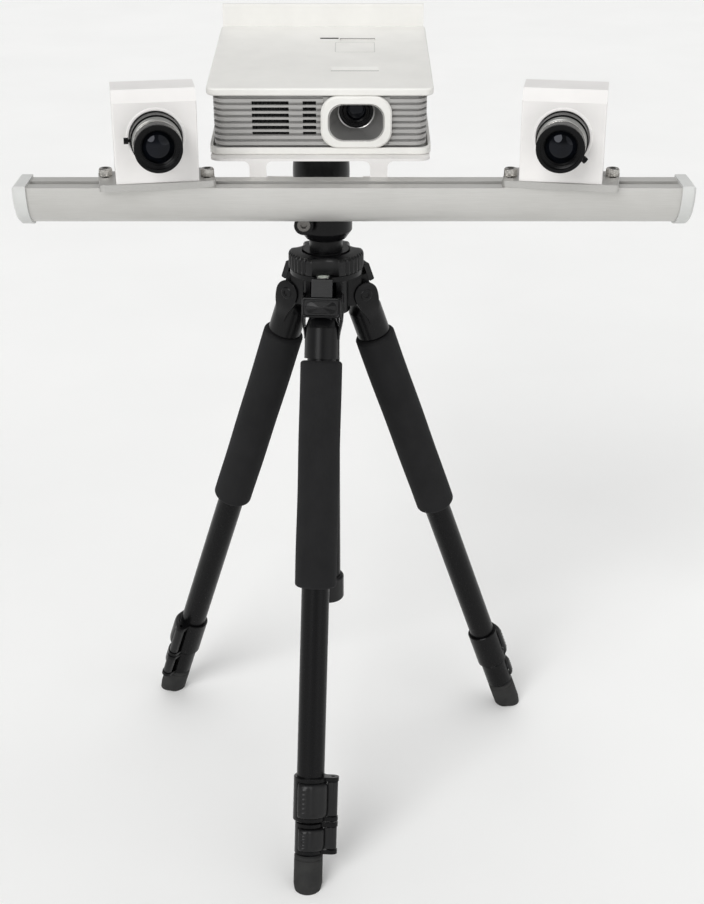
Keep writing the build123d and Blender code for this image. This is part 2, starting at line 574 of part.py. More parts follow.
def make_camera(name):
    place = camera_place(name)
    save(f"{name}_camera_plate", place * camera_plate(name))
    save(f"{name}_camera_housing", place * camera_housing())
    cube, barrel = camera_module()
    screw = lens_screw(180 if name == "left" else -40)
    save(f"{name}_camera_and_lens", place * cube, place * barrel, place * screw)
    save(f"{name}_focus_ring", place * focus_ring())
    save(f"{name}_clamp_screws", *clamp_screws(name))


# ---------------------------------------------------------------- projector
# The projector is drawn level, its front on y = 0 and the cradle plate's top on z = 0, and then
# tilted nose down. Only its base shell stays level below.
CRADLE_TOP = CRADLE_PLATE_BOTTOM + CRADLE_THICKNESS
LEVEL = Pos(PROJECTOR_X, PROJECTOR_FRONT, CRADLE_TOP)
TILTED = LEVEL * Rot(PROJECTOR_TILT, 0, 0)


def base_shell():
    """Wedge-shaped lower shell: level below, and tilted where the louvres stand on it."""
    blank = rounded_slab(BASE_WIDTH, BASE_DEPTH, 9.0, 0, 30)
    blank = fillet(blank.faces().sort_by(Axis.Z)[0].edges(), 1.5)
    above = block(-120, 120, -40, 240, BASE_RISE, 90)
    shell = LEVEL * blank - TILTED * above
    hollow = Pos(0, SHELL_WALL, 0) * rounded_slab(BASE_WIDTH - 2 * SHELL_WALL, BASE_DEPTH - 2 * SHELL_WALL,
                                                  7.0, SHELL_WALL, 40)
    shell -= LEVEL * hollow
    return shell


def louvre_body():
    """Middle shell with a ladder of fins all round and vent windows in the front."""
    depth = LOUVRE_DEPTH
    core_width = LOUVRE_WIDTH - 2 * FIN_REACH
    body = Pos(0, LOUVRE_INSET + FIN_REACH, 0) * rounded_slab(core_width, depth - 2 * FIN_REACH, 7.0,
                                                              BASE_RISE, BODY_RISE)
    for fin in range(FIN_COUNT):
        low = BASE_RISE + 1.6 + fin * FIN_PITCH
        body += Pos(0, LOUVRE_INSET, 0) * rounded_slab(LOUVRE_WIDTH, depth, 9.0, low, low + FIN_THICKNESS)
    wall = FIN_REACH + 1.8
    body -= Pos(0, LOUVRE_INSET + wall, 0) * rounded_slab(LOUVRE_WIDTH - 2 * wall, depth - 2 * wall, 5.0,
                                                          BASE_RISE, BODY_RISE)
    first = BASE_RISE + 1.6 + FIN_THICKNESS
    for x0, x1 in VENT_WINDOWS:
        behind = LOUVRE_INSET + WINDOW_BAR_DEPTH
        body -= block(x0, x1, behind, 10, first + FIN_PITCH, first + (FIN_COUNT - 1) * FIN_PITCH - FIN_THICKNESS)
        for gap in range(1, FIN_COUNT - 1):
            low = first + gap * FIN_PITCH
            body -= block(x0, x1, 0, 10, low, low + FIN_PITCH - WINDOW_BAR_THICKNESS)
    half_width, half_height = BEZEL_WIDTH / 2 - 2, BEZEL_HEIGHT / 2 - 2
    x = BEZEL_X - PROJECTOR_X
    body -= block(x - half_width, x + half_width, -1, 10, BEZEL_RISE - half_height, BEZEL_RISE + half_height)
    return TILTED * body


def top_cover():
    """Lid with a turned-down rim and a raised band along its rear edge."""
    lid = rounded_slab(COVER_WIDTH, COVER_DEPTH, 7.0, BODY_RISE, BODY_RISE + COVER_HEIGHT)
    top = BODY_RISE + COVER_HEIGHT
    foot = COVER_DEPTH - REAR_BAND_DEPTH
    ramp = Polyline((foot, BODY_RISE + 2), (foot, top), (foot + 2, top + REAR_BAND_RISE),
                    (foot + 2 + REAR_BAND_DEPTH, top + REAR_BAND_RISE),
                    (foot + 2 + REAR_BAND_DEPTH, BODY_RISE + 2), close=True)
    half = COVER_WIDTH / 2 - 1.5
    band = Pos(-half, 0, 0) * extrude(Plane.YZ * make_face(ramp), 2 * half)
    band = fillet(band.edges().filter_by(Axis.X).sort_by(Axis.Z)[-2:], 1.2)
    front_rim = lid.faces().sort_by(Axis.Y)[0].edges().filter_by(Axis.X)
    lid = fillet(front_rim, 1.5) + band
    lid -= Pos(0, 4, 0) * rounded_slab(COVER_WIDTH - 8, COVER_DEPTH - 8, 5.0, BODY_RISE, top - SHELL_WALL)
    for x0, x1, y0, y1, depth in COVER_RECESSES:
        lid -= block(x0, x1, y0, y1, top - depth, top + 1)
    x0, x1, y0, y1, depth = FINGER_RECESS
    dip = Polyline((y1, top), (y0, top - depth), (y0, top + 1), (y1, top + 1), close=True)
    return TILTED * (lid - Pos(x0, 0, 0) * extrude(Plane.YZ * make_face(dip), x1 - x0))


BEZEL_FRONT = LOUVRE_INSET - BEZEL_THICKNESS - 0.1


def oval(width, height, radius, y0, y1):
    """Rounded rectangle across Y, from y0 to y1, about the bezel's middle."""
    sketch = Plane.XZ * RectangleRounded(width, height, radius)
    return Pos(BEZEL_X - PROJECTOR_X, y1, BEZEL_RISE) * extrude(sketch, y1 - y0)


def lens_bezel():
    """White ring in front of the lens with a funnel behind it."""
    front = BEZEL_FRONT
    ring_solid = oval(BEZEL_WIDTH, BEZEL_HEIGHT, 14.0, front, front + BEZEL_THICKNESS)
    ring_solid = chamfer(ring_solid.faces().sort_by(Axis.Y)[0].edges(), 1.2)
    neck = oval(BEZEL_WIDTH - 4.4, BEZEL_HEIGHT - 4.4, 12.0, front + BEZEL_THICKNESS,
                front + FUNNEL_DEPTH)
    body = ring_solid + neck
    mouth = Plane.XZ * RectangleRounded(BEZEL_OPENING_WIDTH, BEZEL_OPENING_HEIGHT, 12.0)
    hole = PROJECTOR_LENS_RADIUS + PROJECTOR_RING_WALL + 1.0
    throat = Plane.XZ * RectangleRounded(2 * hole, 2 * hole, hole - 0.1)
    middle = Pos(BEZEL_X - PROJECTOR_X, 0, BEZEL_RISE)
    funnel = loft([middle * Pos(0, front - 0.1, 0) * mouth,
                   middle * Pos(0, front + FUNNEL_DEPTH + 0.1, PROJECTOR_LENS_RAISE) * throat])
    return TILTED * (body - funnel)


LENS_PLACE = Pos(BEZEL_X - PROJECTOR_X, 0, BEZEL_RISE + PROJECTOR_LENS_RAISE)
LENS_FACE = BEZEL_FRONT + PROJECTOR_LENS_RECESS


def projector_lens():
    """Fixed barrel with the front glass seat."""
    barrel = rod_y(PROJECTOR_LENS_RADIUS, LENS_FACE, LENS_FACE + 44, 0, 0)
    barrel -= rod_y(PROJECTOR_LENS_RADIUS - 1.7, LENS_FACE, LENS_FACE + 3, 0, 0)
    return TILTED * LENS_PLACE * barrel


def projector_focus_ring():
    """Focus ring around the lens, at the bottom of the funnel."""
    start = LENS_FACE + 1
    outer = PROJECTOR_LENS_RADIUS + PROJECTOR_RING_WALL
    body = rod_y(outer, start, start + 6.5, 0, 0)
    body -= rod_y(PROJECTOR_LENS_RADIUS + RUNNING_GAP, start, start + 7, 0, 0)
    return TILTED * LENS_PLACE * body


def light_engine():
    """Lamp, mirror chip and prism block that holds the projection lens."""
    box = block(-30, 24, LENS_FACE + 24, LENS_FACE + 104, -13, 13)
    box -= rod_y(PROJECTOR_LENS_RADIUS, LENS_FACE + 24, LENS_FACE + 44, 0, 0)
    return TILTED * LENS_PLACE * box


CRADLE_LEGS = ((-58.0, -45.0), (35.5, 49.0))
LEG_FRONT = RAIL_BACK
LEG_BACK = RAIL_BACK + CRADLE_THICKNESS


def cradle():
    """Bent sheet bracket: plate under the projector, two legs, and the flange on the rail's back."""
    plate = extrude(Pos(PROJECTOR_X, 20, CRADLE_PLATE_BOTTOM) *
                    RectangleRounded(BASE_WIDTH - 2, 148, 10.0), CRADLE_THICKNESS)
    plate &= block(-200, 200, LEG_FRONT, 200, 0, 900)
    flange = block(CRADLE_LEGS[0][0] - 6, CRADLE_LEGS[1][1] + 6, LEG_FRONT, LEG_BACK, 552, RAIL_TOP - 3)
    lip = block(CRADLE_LEGS[0][0] - 3, CRADLE_LEGS[1][1] + 3, LEG_FRONT, LEG_BACK,
                CRADLE_PLATE_BOTTOM, CRADLE_TOP)
    body = plate + flange + lip
    for x0, x1 in CRADLE_LEGS:
        body += block(x0, x1, LEG_FRONT, LEG_BACK, RAIL_TOP - 4, CRADLE_TOP - 0.5)
        for corner, side in ((x0, -1), (x1, 1)):
            gusset = block(min(corner, corner + side * 5), max(corner, corner + side * 5),
                           LEG_FRONT, LEG_BACK, CRADLE_PLATE_BOTTOM - 5, CRADLE_PLATE_BOTTOM)
            round_cut = rod_y(5.0, LEG_FRONT - 1, LEG_BACK + 1, corner + side * 5, CRADLE_PLATE_BOTTOM - 5)
            body += gusset - round_cut
    for x0, x1 in ((CRADLE_LEGS[0][1], -25.0), (30.0, CRADLE_LEGS[1][0])):
        body += block(x0, x1, LEG_FRONT, LEG_BACK + 12, RAIL_TOP - 6, RAIL_TOP - 3)
    for x in (-50.0, 41.0):
        body -= rod_y(M6_CLEARANCE, LEG_FRONT - 1, LEG_BACK + 1, x, BACK_SLOT_HEIGHT)
    return body


def cradle_screws():
    """M6 cap screws through the flange into T-nuts in the rail's back slot."""
    solids = []
    for x in (-50.0, 41.0):
        aim = Pos(x, LEG_BACK, BACK_SLOT_HEIGHT) * Rot(-90, 0, 0)
        nut_face = RAIL_BACK - SLOT_LIP - 0.1
        nut = block(x - 6.5, x + 6.5, nut_face - 4.6, nut_face, BACK_SLOT_HEIGHT - 6.6, BACK_SLOT_HEIGHT + 6.6)
        solids.append(aim * socket_screw(CRADLE_THICKNESS + SLOT_LIP + 4) + nut)
    return solids


# ---------------------------------------------------------------- build
os.makedirs("parts", exist_ok=True)
for leg_name, leg_azimuth in LEG_AZIMUTHS.items():
    make_leg(leg_name, leg_azimuth)
save("spider_casting", spider_casting())
save("leg_pivot_bolts", *[Rot(0, 0, azimuth + 90) * pivot_bolt() for azimuth in LEG_AZIMUTHS.values()])
save("column_lock_collar", lock_collar())
save("column_top_plate", top_plate())
save("centre_column", centre_column())
save("column_end_cap", column_end_cap())
save("head_pan_base", pan_base())
save("head_housing", head_housing())
save("head_clamp_bolt", clamp_bolt())
save("head_lock_knob", lock_knob())
save("head_ball", head_ball())
save("head_platform", head_platform())
save("rail_profile", rail_profile())
save("rail_end_caps", end_cap(-1), end_cap(1))
for camera_name in CAMERA_X:
    make_camera(camera_name)
save("projector_cradle", cradle())
save("cradle_screws", *cradle_screws())
save("projector_base_shell", base_shell())
save("projector_louvre_body", louvre_body())
save("projector_top_cover", top_cover())
save("projector_lens_bezel", lens_bezel())
save("projector_lens_barrel", projector_lens())
save("projector_focus_ring", projector_focus_ring())
save("projector_light_engine", light_engine())
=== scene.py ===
import json
import bmesh
import bpy
import numpy as np
from mathutils import Matrix, Vector


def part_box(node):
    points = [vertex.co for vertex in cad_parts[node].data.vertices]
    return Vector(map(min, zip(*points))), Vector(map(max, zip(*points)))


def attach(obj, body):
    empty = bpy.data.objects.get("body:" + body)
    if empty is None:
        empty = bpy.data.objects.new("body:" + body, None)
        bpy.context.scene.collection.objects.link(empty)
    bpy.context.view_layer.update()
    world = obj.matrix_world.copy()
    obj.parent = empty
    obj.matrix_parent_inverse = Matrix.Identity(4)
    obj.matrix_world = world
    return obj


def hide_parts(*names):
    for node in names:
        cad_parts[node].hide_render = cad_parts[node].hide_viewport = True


# Looks of a structured-light 3-D scanner on a tripod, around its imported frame.
# Blender and the frame count in metres. Profiles, outlines and named sizes are in millimetres,
# and MM turns one into the other.
MM = 0.001
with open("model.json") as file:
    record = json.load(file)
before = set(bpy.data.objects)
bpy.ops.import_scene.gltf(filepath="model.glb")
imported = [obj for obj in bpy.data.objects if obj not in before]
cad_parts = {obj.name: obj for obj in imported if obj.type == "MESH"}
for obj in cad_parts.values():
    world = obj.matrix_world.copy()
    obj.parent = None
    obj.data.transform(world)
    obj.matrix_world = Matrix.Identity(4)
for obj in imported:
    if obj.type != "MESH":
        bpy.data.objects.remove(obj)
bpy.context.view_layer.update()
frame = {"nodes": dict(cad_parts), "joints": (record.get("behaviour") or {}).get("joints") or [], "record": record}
joints = {joint["name"]: joint for joint in frame["joints"]}
LEGS = ("front", "left", "right")
CAMERAS = ("left", "right")


# ---------------------------------------------------------------- shader helpers
def srgb(code):
    """Hex colour to the linear values that Blender's sockets take."""
    part = np.array([int(code[i:i + 2], 16) for i in (1, 3, 5)]) / 255
    part = np.where(part <= 0.04045, part / 12.92, ((part + 0.055) / 1.055) ** 2.4)
    return (*part.tolist(), 1.0)


def add(material, kind, **values):
    """Add a node; values sets its properties and sockets, and a (node, output) pair links.

    A key is a property's or socket's name with _ for a space, or _ and a socket's number."""
    tree = material.node_tree
    made = tree.nodes.new(kind)
    for key, value in values.items():
        socket = int(key[1:]) if key[0] == "_" else key.replace("_", " ")
        if key[0] != "_" and hasattr(made, key):
            setattr(made, key, value)
        elif isinstance(value, tuple) and isinstance(value[0], bpy.types.Node):
            tree.links.new(value[0].outputs[value[1]], made.inputs[socket])
        else:
            made.inputs[socket].default_value = value
    return made


def ramp(material, source, stops):
    """Colour ramp on a source: stops are (position, colour)."""
    made = add(material, "ShaderNodeValToRGB", Fac=source)
    elements = made.color_ramp.elements
    while len(elements) < len(stops):
        elements.new(0.5)
    for element, (position, colour) in zip(elements, stops):
        element.position = position
        element.color = colour
    return made


def new_material(name, **shader):
    """Material with one principled shader; its constants are set straight on its sockets."""
    material = bpy.data.materials.new(name)
    material.use_nodes = True
    principled = material.node_tree.nodes["Principled BSDF"]
    for key, value in shader.items():
        principled.inputs[key.replace("_", " ")].default_value = value
    return material, principled


def link(material, source, output, target, socket):
    material.node_tree.links.new(source.outputs[output], target.inputs[socket])


def place_pattern(material, scale):
    """Object coordinates in metres, multiplied by scale along each axis."""
    where = add(material, "ShaderNodeTexCoord")
    return add(material, "ShaderNodeMapping", Vector=(where, "Object"), Scale=scale)


def pattern(material, size_mm, detail=3.0, stretch=(1, 1, 1)):
    """Noise whose grains are size_mm across, longer along the axes where stretch is above one."""
    where = place_pattern(material, tuple(1.0 / (size_mm * MM * s) for s in stretch))
    return add(material, "ShaderNodeTexNoise", Vector=(where, "Vector"), Scale=1.0,
               Detail=detail, Roughness=0.6)


def two_tones(material, principled, source, first, second, low=0.35, high=0.65):
    """Base colour that goes from first to second while the source goes from low to high."""
    tone = ramp(material, source, ((low, srgb(first)), (high, srgb(second))))
    link(material, tone, "Color", principled, "Base Color")


def uneven_gloss(material, principled, source, low, high):
    """Roughness between low and high, as the source goes from 0 to 1."""
    gloss = add(material, "ShaderNodeMapRange", Value=source, _3=low, _4=high)
    link(material, gloss, "Result", principled, "Roughness")


def relief(material, principled, source, depth_mm, strength=0.5):
    bump = add(material, "ShaderNodeBump", Height=source, Distance=depth_mm * MM,
               Strength=strength)
    link(material, bump, "Normal", principled, "Normal")


# ---------------------------------------------------------------- materials
# Moulding grain, orange peel, draw lines and foam pits are mostly finer than what shows at the
# size of the whole object, so their sizes here are as coarse as they need to be to be seen.
def moulded_plastic(name, light, dark, grain_mm, gloss, depth_mm=0.03, shine=0.5):
    """Injection moulded plastic: a spark-eroded grain and a faint unevenness of tone."""
    material, principled = new_material(name, IOR=1.53, Specular_IOR_Level=shine)
    grain = pattern(material, grain_mm, detail=2.0)
    cloud = pattern(material, size_mm=42.0, detail=4.0)
    two_tones(material, principled, (cloud, "Fac"), dark, light)
    uneven_gloss(material, principled, (grain, "Fac"), gloss - 0.06, gloss + 0.1)
    relief(material, principled, (grain, "Fac"), depth_mm)
    return material


def powder_coat(name, light, dark, peel_mm, gloss, depth_mm=0.04, shine=0.5):
    """Baked powder paint on metal: a soft orange peel with a satin gloss."""
    material, principled = new_material(name, IOR=1.5, Specular_IOR_Level=shine)
    peel = pattern(material, peel_mm, detail=2.5)
    cloud = pattern(material, size_mm=55.0)
    two_tones(material, principled, (cloud, "Fac"), dark, light)
    uneven_gloss(material, principled, (peel, "Fac"), gloss - 0.05, gloss + 0.08)
    relief(material, principled, (peel, "Fac"), depth_mm, strength=0.45)
    return material


def drawn_metal(name, light, dark, metallic, gloss, stretch=(1, 1, 1), line_mm=0.3, shine=0.5):
    """Extruded, drawn or turned metal: fine lines, longer along the stretched axis, and satin."""
    material, principled = new_material(name, Metallic=metallic, Specular_IOR_Level=shine)
    lines = pattern(material, line_mm, detail=2.0, stretch=stretch)
    cloud = pattern(material, size_mm=60.0)
    mixed = add(material, "ShaderNodeMath", operation="MULTIPLY_ADD", _0=(lines, "Fac"),
                _1=0.6, _2=0.2)
    tone = add(material, "ShaderNodeMath", operation="MULTIPLY_ADD", _0=(cloud, "Fac"),
               _1=0.5, _2=(mixed, "Value"))
    two_tones(material, principled, (tone, "Value"), dark, light, 0.45, 0.95)
    uneven_gloss(material, principled, (lines, "Fac"), gloss - 0.06, gloss + 0.1)
    relief(material, principled, (lines, "Fac"), depth_mm=0.012)
    return material


def polished_steel():
    """Stainless cap screws: bright, with faint turning marks."""
    material, principled = new_material("stainless_steel_turned", Metallic=1.0)
    marks = pattern(material, size_mm=0.25, detail=2.0, stretch=(8, 8, 1))
    two_tones(material, principled, (marks, "Fac"), "#A9A6A1", "#DAD8D4")
    uneven_gloss(material, principled, (marks, "Fac"), 0.1, 0.2)
    relief(material, principled, (marks, "Fac"), depth_mm=0.01, strength=0.4)
    return material


def closed_cell_foam():
    """Nitrile foam sleeve: dull, finely pitted, a little greyer where hands rub it."""
    cell_mm = 0.9
    material, principled = new_material("nitrile_foam", IOR=1.45, Sheen_Weight=0.12,
                                        Sheen_Roughness=0.6, Sheen_Tint=srgb("#5A5A5C"),
                                        Specular_IOR_Level=0.3)
    where = place_pattern(material, (1 / (cell_mm * MM),) * 3)
    cells = add(material, "ShaderNodeTexVoronoi", Vector=(where, "Vector"), Scale=1.0,
                Randomness=1.0)
    dust = pattern(material, size_mm=0.45, detail=2.0)
    worn = pattern(material, size_mm=26.0, detail=4.0)
    two_tones(material, principled, (worn, "Fac"), "#161617", "#1B1B1C")
    uneven_gloss(material, principled, (dust, "Fac"), 0.82, 0.97)
    depth = add(material, "ShaderNodeMath", operation="MULTIPLY_ADD", _0=(cells, "Distance"),
                _1=0.7, _2=(dust, "Fac"))
    relief(material, principled, (depth, "Value"), depth_mm=0.12, strength=0.7)
    return material


def moulded_rubber():
    """Rubber feet: matt, faintly dusty."""
    material, principled = new_material("moulded_rubber", IOR=1.52, Specular_IOR_Level=0.35)
    grain = pattern(material, size_mm=0.5)
    dust = pattern(material, size_mm=9.0, detail=5.0)
    two_tones(material, principled, (dust, "Fac"), "#1C1C1C", "#252524")
    uneven_gloss(material, principled, (grain, "Fac"), 0.62, 0.85)
    relief(material, principled, (grain, "Fac"), depth_mm=0.05)
    return material


def coated_glass(name, tint):
    """Front element of a lens: glossy, dark behind, with a faint tint from its coating."""
    material, principled = new_material(name, IOR=1.45, Roughness=0.03, Specular_IOR_Level=0.3,
                                        Specular_Tint=srgb(tint))
    cloud = pattern(material, size_mm=12.0, detail=2.0)
    two_tones(material, principled, (cloud, "Fac"), "#050607", "#0B0D12")
    return material


def clear_fluid(name, light, dark, size_mm, **shader):
    """Fluid and bubble of the level: smooth and glossy, pale, with a faint unevenness of tone."""
    material, principled = new_material(name, **shader)
    cloud = pattern(material, size_mm)
    two_tones(material, principled, (cloud, "Fac"), dark, light)
    return material


WHITE_ABS = moulded_plastic("abs_white_moulded", "#E9E8E4", "#E3E2DE", grain_mm=0.6, gloss=0.4)
LOUVRE_ABS = moulded_plastic("abs_grey_moulded", "#ACABA9", "#A2A19F", grain_mm=0.6, gloss=0.42)
CAP_PLASTIC = moulded_plastic("nylon_light_grey", "#D2D3D1", "#C8C9C7", grain_mm=0.8, gloss=0.5)
BLACK_NYLON = moulded_plastic("glass_filled_nylon", "#101011", "#0B0B0C", grain_mm=0.7,
                              gloss=0.34, depth_mm=0.05, shine=0.28)
WHITE_PAINT = powder_coat("powder_coat_white", "#ECEAE8", "#E6E4E2", peel_mm=1.2, gloss=0.4)
BLACK_PAINT = powder_coat("powder_coat_black", "#0F0F10", "#0A0A0B", peel_mm=0.7, gloss=0.28,
                          depth_mm=0.05, shine=0.2)
RAIL_METAL = drawn_metal("anodised_extrusion", "#CFCECB", "#BDBCB8", metallic=0.55, gloss=0.4,
                         stretch=(60, 1, 1), line_mm=0.35)
PLATE_METAL = drawn_metal("milled_plate", "#C2C1BE", "#AFAEAB", metallic=0.7, gloss=0.38,
                          stretch=(30, 1, 1), line_mm=0.4)
RING_METAL = drawn_metal("anodised_ring", "#9A9A98", "#82827F", metallic=0.8, gloss=0.36)
TUBE_METAL = drawn_metal("black_anodised_tube", "#0B0B0C", "#070708", metallic=0.0, gloss=0.26,
                         stretch=(1, 1, 40), line_mm=0.4, shine=0.16)
LENS_METAL = drawn_metal("black_anodised_barrel", "#0B0B0C", "#070708", metallic=0.0,
                         gloss=0.24, shine=0.14)
BLACK_STEEL = drawn_metal("black_oxide_steel", "#7C7A77", "#5A5855", metallic=0.9, gloss=0.3)
STEEL = polished_steel()
FOAM = closed_cell_foam()
RUBBER = moulded_rubber()
LENS_GLASS = coated_glass("coated_lens_glass", "#DCDFE8")
VIAL = clear_fluid("level_fluid_acrylic", "#DADFD6", "#C9D2C4", size_mm=3.0, Roughness=0.06,
                   IOR=1.49, Coat_Weight=0.6, Coat_Roughness=0.04)
BUBBLE = clear_fluid("level_bubble_air", "#F2F4F0", "#E9ECE6", size_mm=2.0, Roughness=0.12,
                     IOR=1.3)
LABEL_WHITE = moulded_plastic("vinyl_label_white", "#C9C9C7", "#BDBDBB", grain_mm=0.8, gloss=0.5)
LABEL_GREY = moulded_plastic("printed_line_grey", "#C4C4C1", "#BABAB7", grain_mm=0.8, gloss=0.5)
SILVER_PAINT = drawn_metal("vapour_silver_plastic", "#C9C8C6", "#A5A4A2", metallic=0.75,
                           gloss=0.3, line_mm=0.5)
# Painted shade: a darker grey for the strips on the walls of the lid's recesses, where shade falls.
RECESS_PAINTED_SHADE = moulded_plastic("recess_painted_shade_grey", "#8E8D8B", "#838280", grain_mm=0.6, gloss=0.5)

SLOT_MATERIALS = {
    "white_plastic": WHITE_ABS, "white_paint": WHITE_PAINT, "louvre_grey": LOUVRE_ABS,
    "grey_plastic": CAP_PLASTIC, "silver_anodised": RAIL_METAL, "bare_aluminium": PLATE_METAL,
    "knurled_aluminium": RING_METAL, "stainless_steel": STEEL, "black_steel": BLACK_STEEL,
    "black_casting": BLACK_PAINT, "black_anodised_tube": TUBE_METAL,
    "black_plastic": BLACK_NYLON, "lens_black": LENS_METAL, "foam": FOAM, "rubber": RUBBER,
}


def dress_frame():
    """Give every node of the frame the material of its slot."""
    for part in frame["record"]["subparts"]:
        node = frame["nodes"][part["node"]]
        node.data.materials.clear()
        node.data.materials.append(SLOT_MATERIALS[part["material_slot"]])


# ---------------------------------------------------------------- surfaces
SHARP = 32.0                           # edges that turn by more degrees than this are hard
BOTH, ROWS, COLUMNS = (True, True), (True, False), (False, True)   # ways a grid wraps round
ON_AXIS = 0.01                         # radius for a profile's ends, where they meet the axis


def put(points, place):
    """Carry an array of points (..., 3) by a 4 x 4 placement."""
    matrix = np.array(place)
    return points @ matrix[:3, :3].T + matrix[:3, 3]


def mesh_of(name, points, faces, sharp):
    """Mesh from points (n, 3) and quads (m, 4): doubles merged, faces outward, hard edges."""
    mesh = bpy.data.meshes.new(name)
    mesh.vertices.add(len(points))
    mesh.vertices.foreach_set("co", np.asarray(points, np.float32).ravel())
    mesh.loops.add(faces.size)
    mesh.loops.foreach_set("vertex_index", faces.astype(np.int32).ravel())
    mesh.polygons.add(len(faces))
    mesh.polygons.foreach_set("loop_start", np.arange(0, faces.size, 4, dtype=np.int32))
    mesh.polygons.foreach_set("loop_total", np.full(len(faces), 4, np.int32))
    mesh.update(calc_edges=True)
    shape = bmesh.new()
    shape.from_mesh(mesh)
    bmesh.ops.remove_doubles(shape, verts=shape.verts, dist=1e-6)
    bmesh.ops.dissolve_degenerate(shape, edges=shape.edges, dist=1e-7)
    bmesh.ops.recalc_face_normals(shape, faces=shape.faces)
    shape.to_mesh(mesh)
    shape.free()
    mesh.polygons.foreach_set("use_smooth", np.ones(len(mesh.polygons), bool))
    mesh.set_sharp_from_angle(angle=np.radians(sharp))
    return mesh


def grid_faces(rows, columns, wrap_rows, wrap_columns, first=0):
    """Quads between the neighbours of a grid of points, wrapped where asked."""
    i = np.arange(rows if wrap_rows else rows - 1)
    j = np.arange(columns if wrap_columns else columns - 1)
    i, j = np.meshgrid(i, j, indexing="ij")
    i, j = i.ravel(), j.ravel()
    down, right = (i + 1) % rows, (j + 1) % columns
    corners = [i * columns + j, i * columns + right, down * columns + right, down * columns + j]
    return first + np.stack(corners, 1)


def joined(name, parts, sharp=SHARP):
    """Several separate surfaces of one piece: parts are (grid (rows, columns, 3), wrap)."""
    points, faces, count = [], [], 0
    for grid, wrap in parts:
        rows, columns = grid.shape[:2]
        points.append(grid.reshape(-1, 3))
        faces.append(grid_faces(rows, columns, *wrap, count))
        count += rows * columns
    return mesh_of(name, np.concatenate(points), np.concatenate(faces), sharp)


def skin(name, grid, wrap=BOTH, sharp=SHARP):
    """Surface through one grid of points (rows, columns, 3)."""
    return joined(name, [(grid, wrap)], sharp)


def rounded_path(corners, radii, steps=5, closed=True):
    """Points of a polygon whose corners are arcs: each arc is tangent to its two sides."""
    corners = np.asarray(corners, float)
    path = []
    count = len(corners)
    for k in range(count):
        here, before, after = corners[k], corners[k - 1], corners[(k + 1) % count]
        radius = radii[k] if np.ndim(radii) else radii
        ends = not closed and k in (0, count - 1)
        if radius <= 0 or ends:
            path.append(here[None])
            continue
        a, b = before - here, after - here
        la, lb = np.linalg.norm(a), np.linalg.norm(b)
        a, b = a / la, b / lb
        half = np.arccos(np.clip(a @ b, -1, 1)) / 2
        cut = min(radius / np.tan(half), 0.49 * la, 0.49 * lb)
        r = cut * np.tan(half)
        middle = here + (a + b) / np.linalg.norm(a + b) * r / np.sin(half)
        start, end = here + a * cut - middle, here + b * cut - middle
        t = np.linspace(0, 1, steps + 1)[:, None]
        angle = np.arccos(np.clip(start @ end / (r * r), -1, 1))
        arc = np.sin((1 - t) * angle) * start + np.sin(t * angle) * end
        path.append(middle + arc / max(np.sin(angle), 1e-9))
    return np.concatenate(path)


def box_outline(x0, x1, y0, y1, radius, steps=5):
    return rounded_path([(x0, y0), (x1, y0), (x1, y1), (x0, y1)], radius, steps)


def face_outline(width, height, corner, steps=12):
    return box_outline(-width / 2, width / 2, -height / 2, height / 2, corner, steps)


def lathe(profile, place, turns=96, swell=None):
    """Grid of a profile of (radius, height) turned about the local Z axis.

    swell gives a factor on the radius from the angle and height arrays."""
    angle = np.linspace(0, 2 * np.pi, turns, endpoint=False)[:, None]
    radius, height = profile[None, :, 0], profile[None, :, 1]
    if swell is not None:
        radius = radius * swell(angle, height)
    grid = np.stack([radius * np.cos(angle), radius * np.sin(angle), height + 0 * angle], -1)
    return put(grid * MM, place)


def knurls(count, depth, zone):
    """Swell for lathe: count grooves along the axis, where zone(height) is above zero.

    At a groove's bottom the radius is smaller by depth, a share of the radius."""
    def swell(angle, height):
        return 1 - depth * zone(height) * (0.5 - 0.5 * np.cos(count * angle))
    return swell


def rim_grid(outline, steps):
    """Rows of an outline drawn in towards its middle: steps are (inset, height)."""
    reach = np.abs(outline).max(0)
    return np.stack([np.column_stack([outline * np.maximum(1 - inset / reach, 0.001),
                                      np.full(len(outline), z)]) for inset, z in steps])


def closed(grid):
    """Close a stack of rings round the local Z axis over its two ends."""
    low, high = grid[:1] * (0.001, 0.001, 1), grid[-1:] * (0.001, 0.001, 1)
    return np.concatenate([low, grid, high])


def closed_middle(grid):
    """Close a stack of rings by drawing its first and last rings to their middles."""
    return np.concatenate([0 * grid[:1] + grid[:1].mean(1, keepdims=True), grid,
                           0 * grid[-1:] + grid[-1:].mean(1, keepdims=True)])


def plate_on(place, outline, low, high, edge):
    """Rounded plate over an outline, between two heights, with soft rims."""
    steps = [(edge, low), (edge * 0.3, low + edge * 0.3), (0, low + edge), (0, high - edge),
             (edge * 0.3, high - edge * 0.3), (edge, high)]
    middle = outline.mean(0)
    grid = closed(rim_grid(outline - middle, steps))
    grid[..., :2] += middle
    return put(grid * MM, place)


def dome(radius, height, base, under, steps=14):
    """Profile of a lens: a parabola of the given radius and height over base, flat at under."""
    t = np.linspace(0, 1, steps)
    front = np.column_stack([np.maximum(radius * t, ON_AXIS), base + height * (1 - t ** 2)])
    return np.concatenate([[(ON_AXIS, under)], front, [(radius, under)]])


def piece(mesh, material, body, replaces=()):
    """Put a mesh in the scene as a piece that rides on a body."""
    made = bpy.data.objects.new(mesh.name, mesh)
    bpy.context.scene.collection.objects.link(made)
    mesh.materials.append(material)
    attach(made, body)
    if replaces:
        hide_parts(*replaces)
    return made


# ---------------------------------------------------------------- places, from the joints
def axes_place(side, inward, up, origin):
    place = Matrix((side, inward, up)).transposed().to_4x4()
    place.translation = origin
    return place


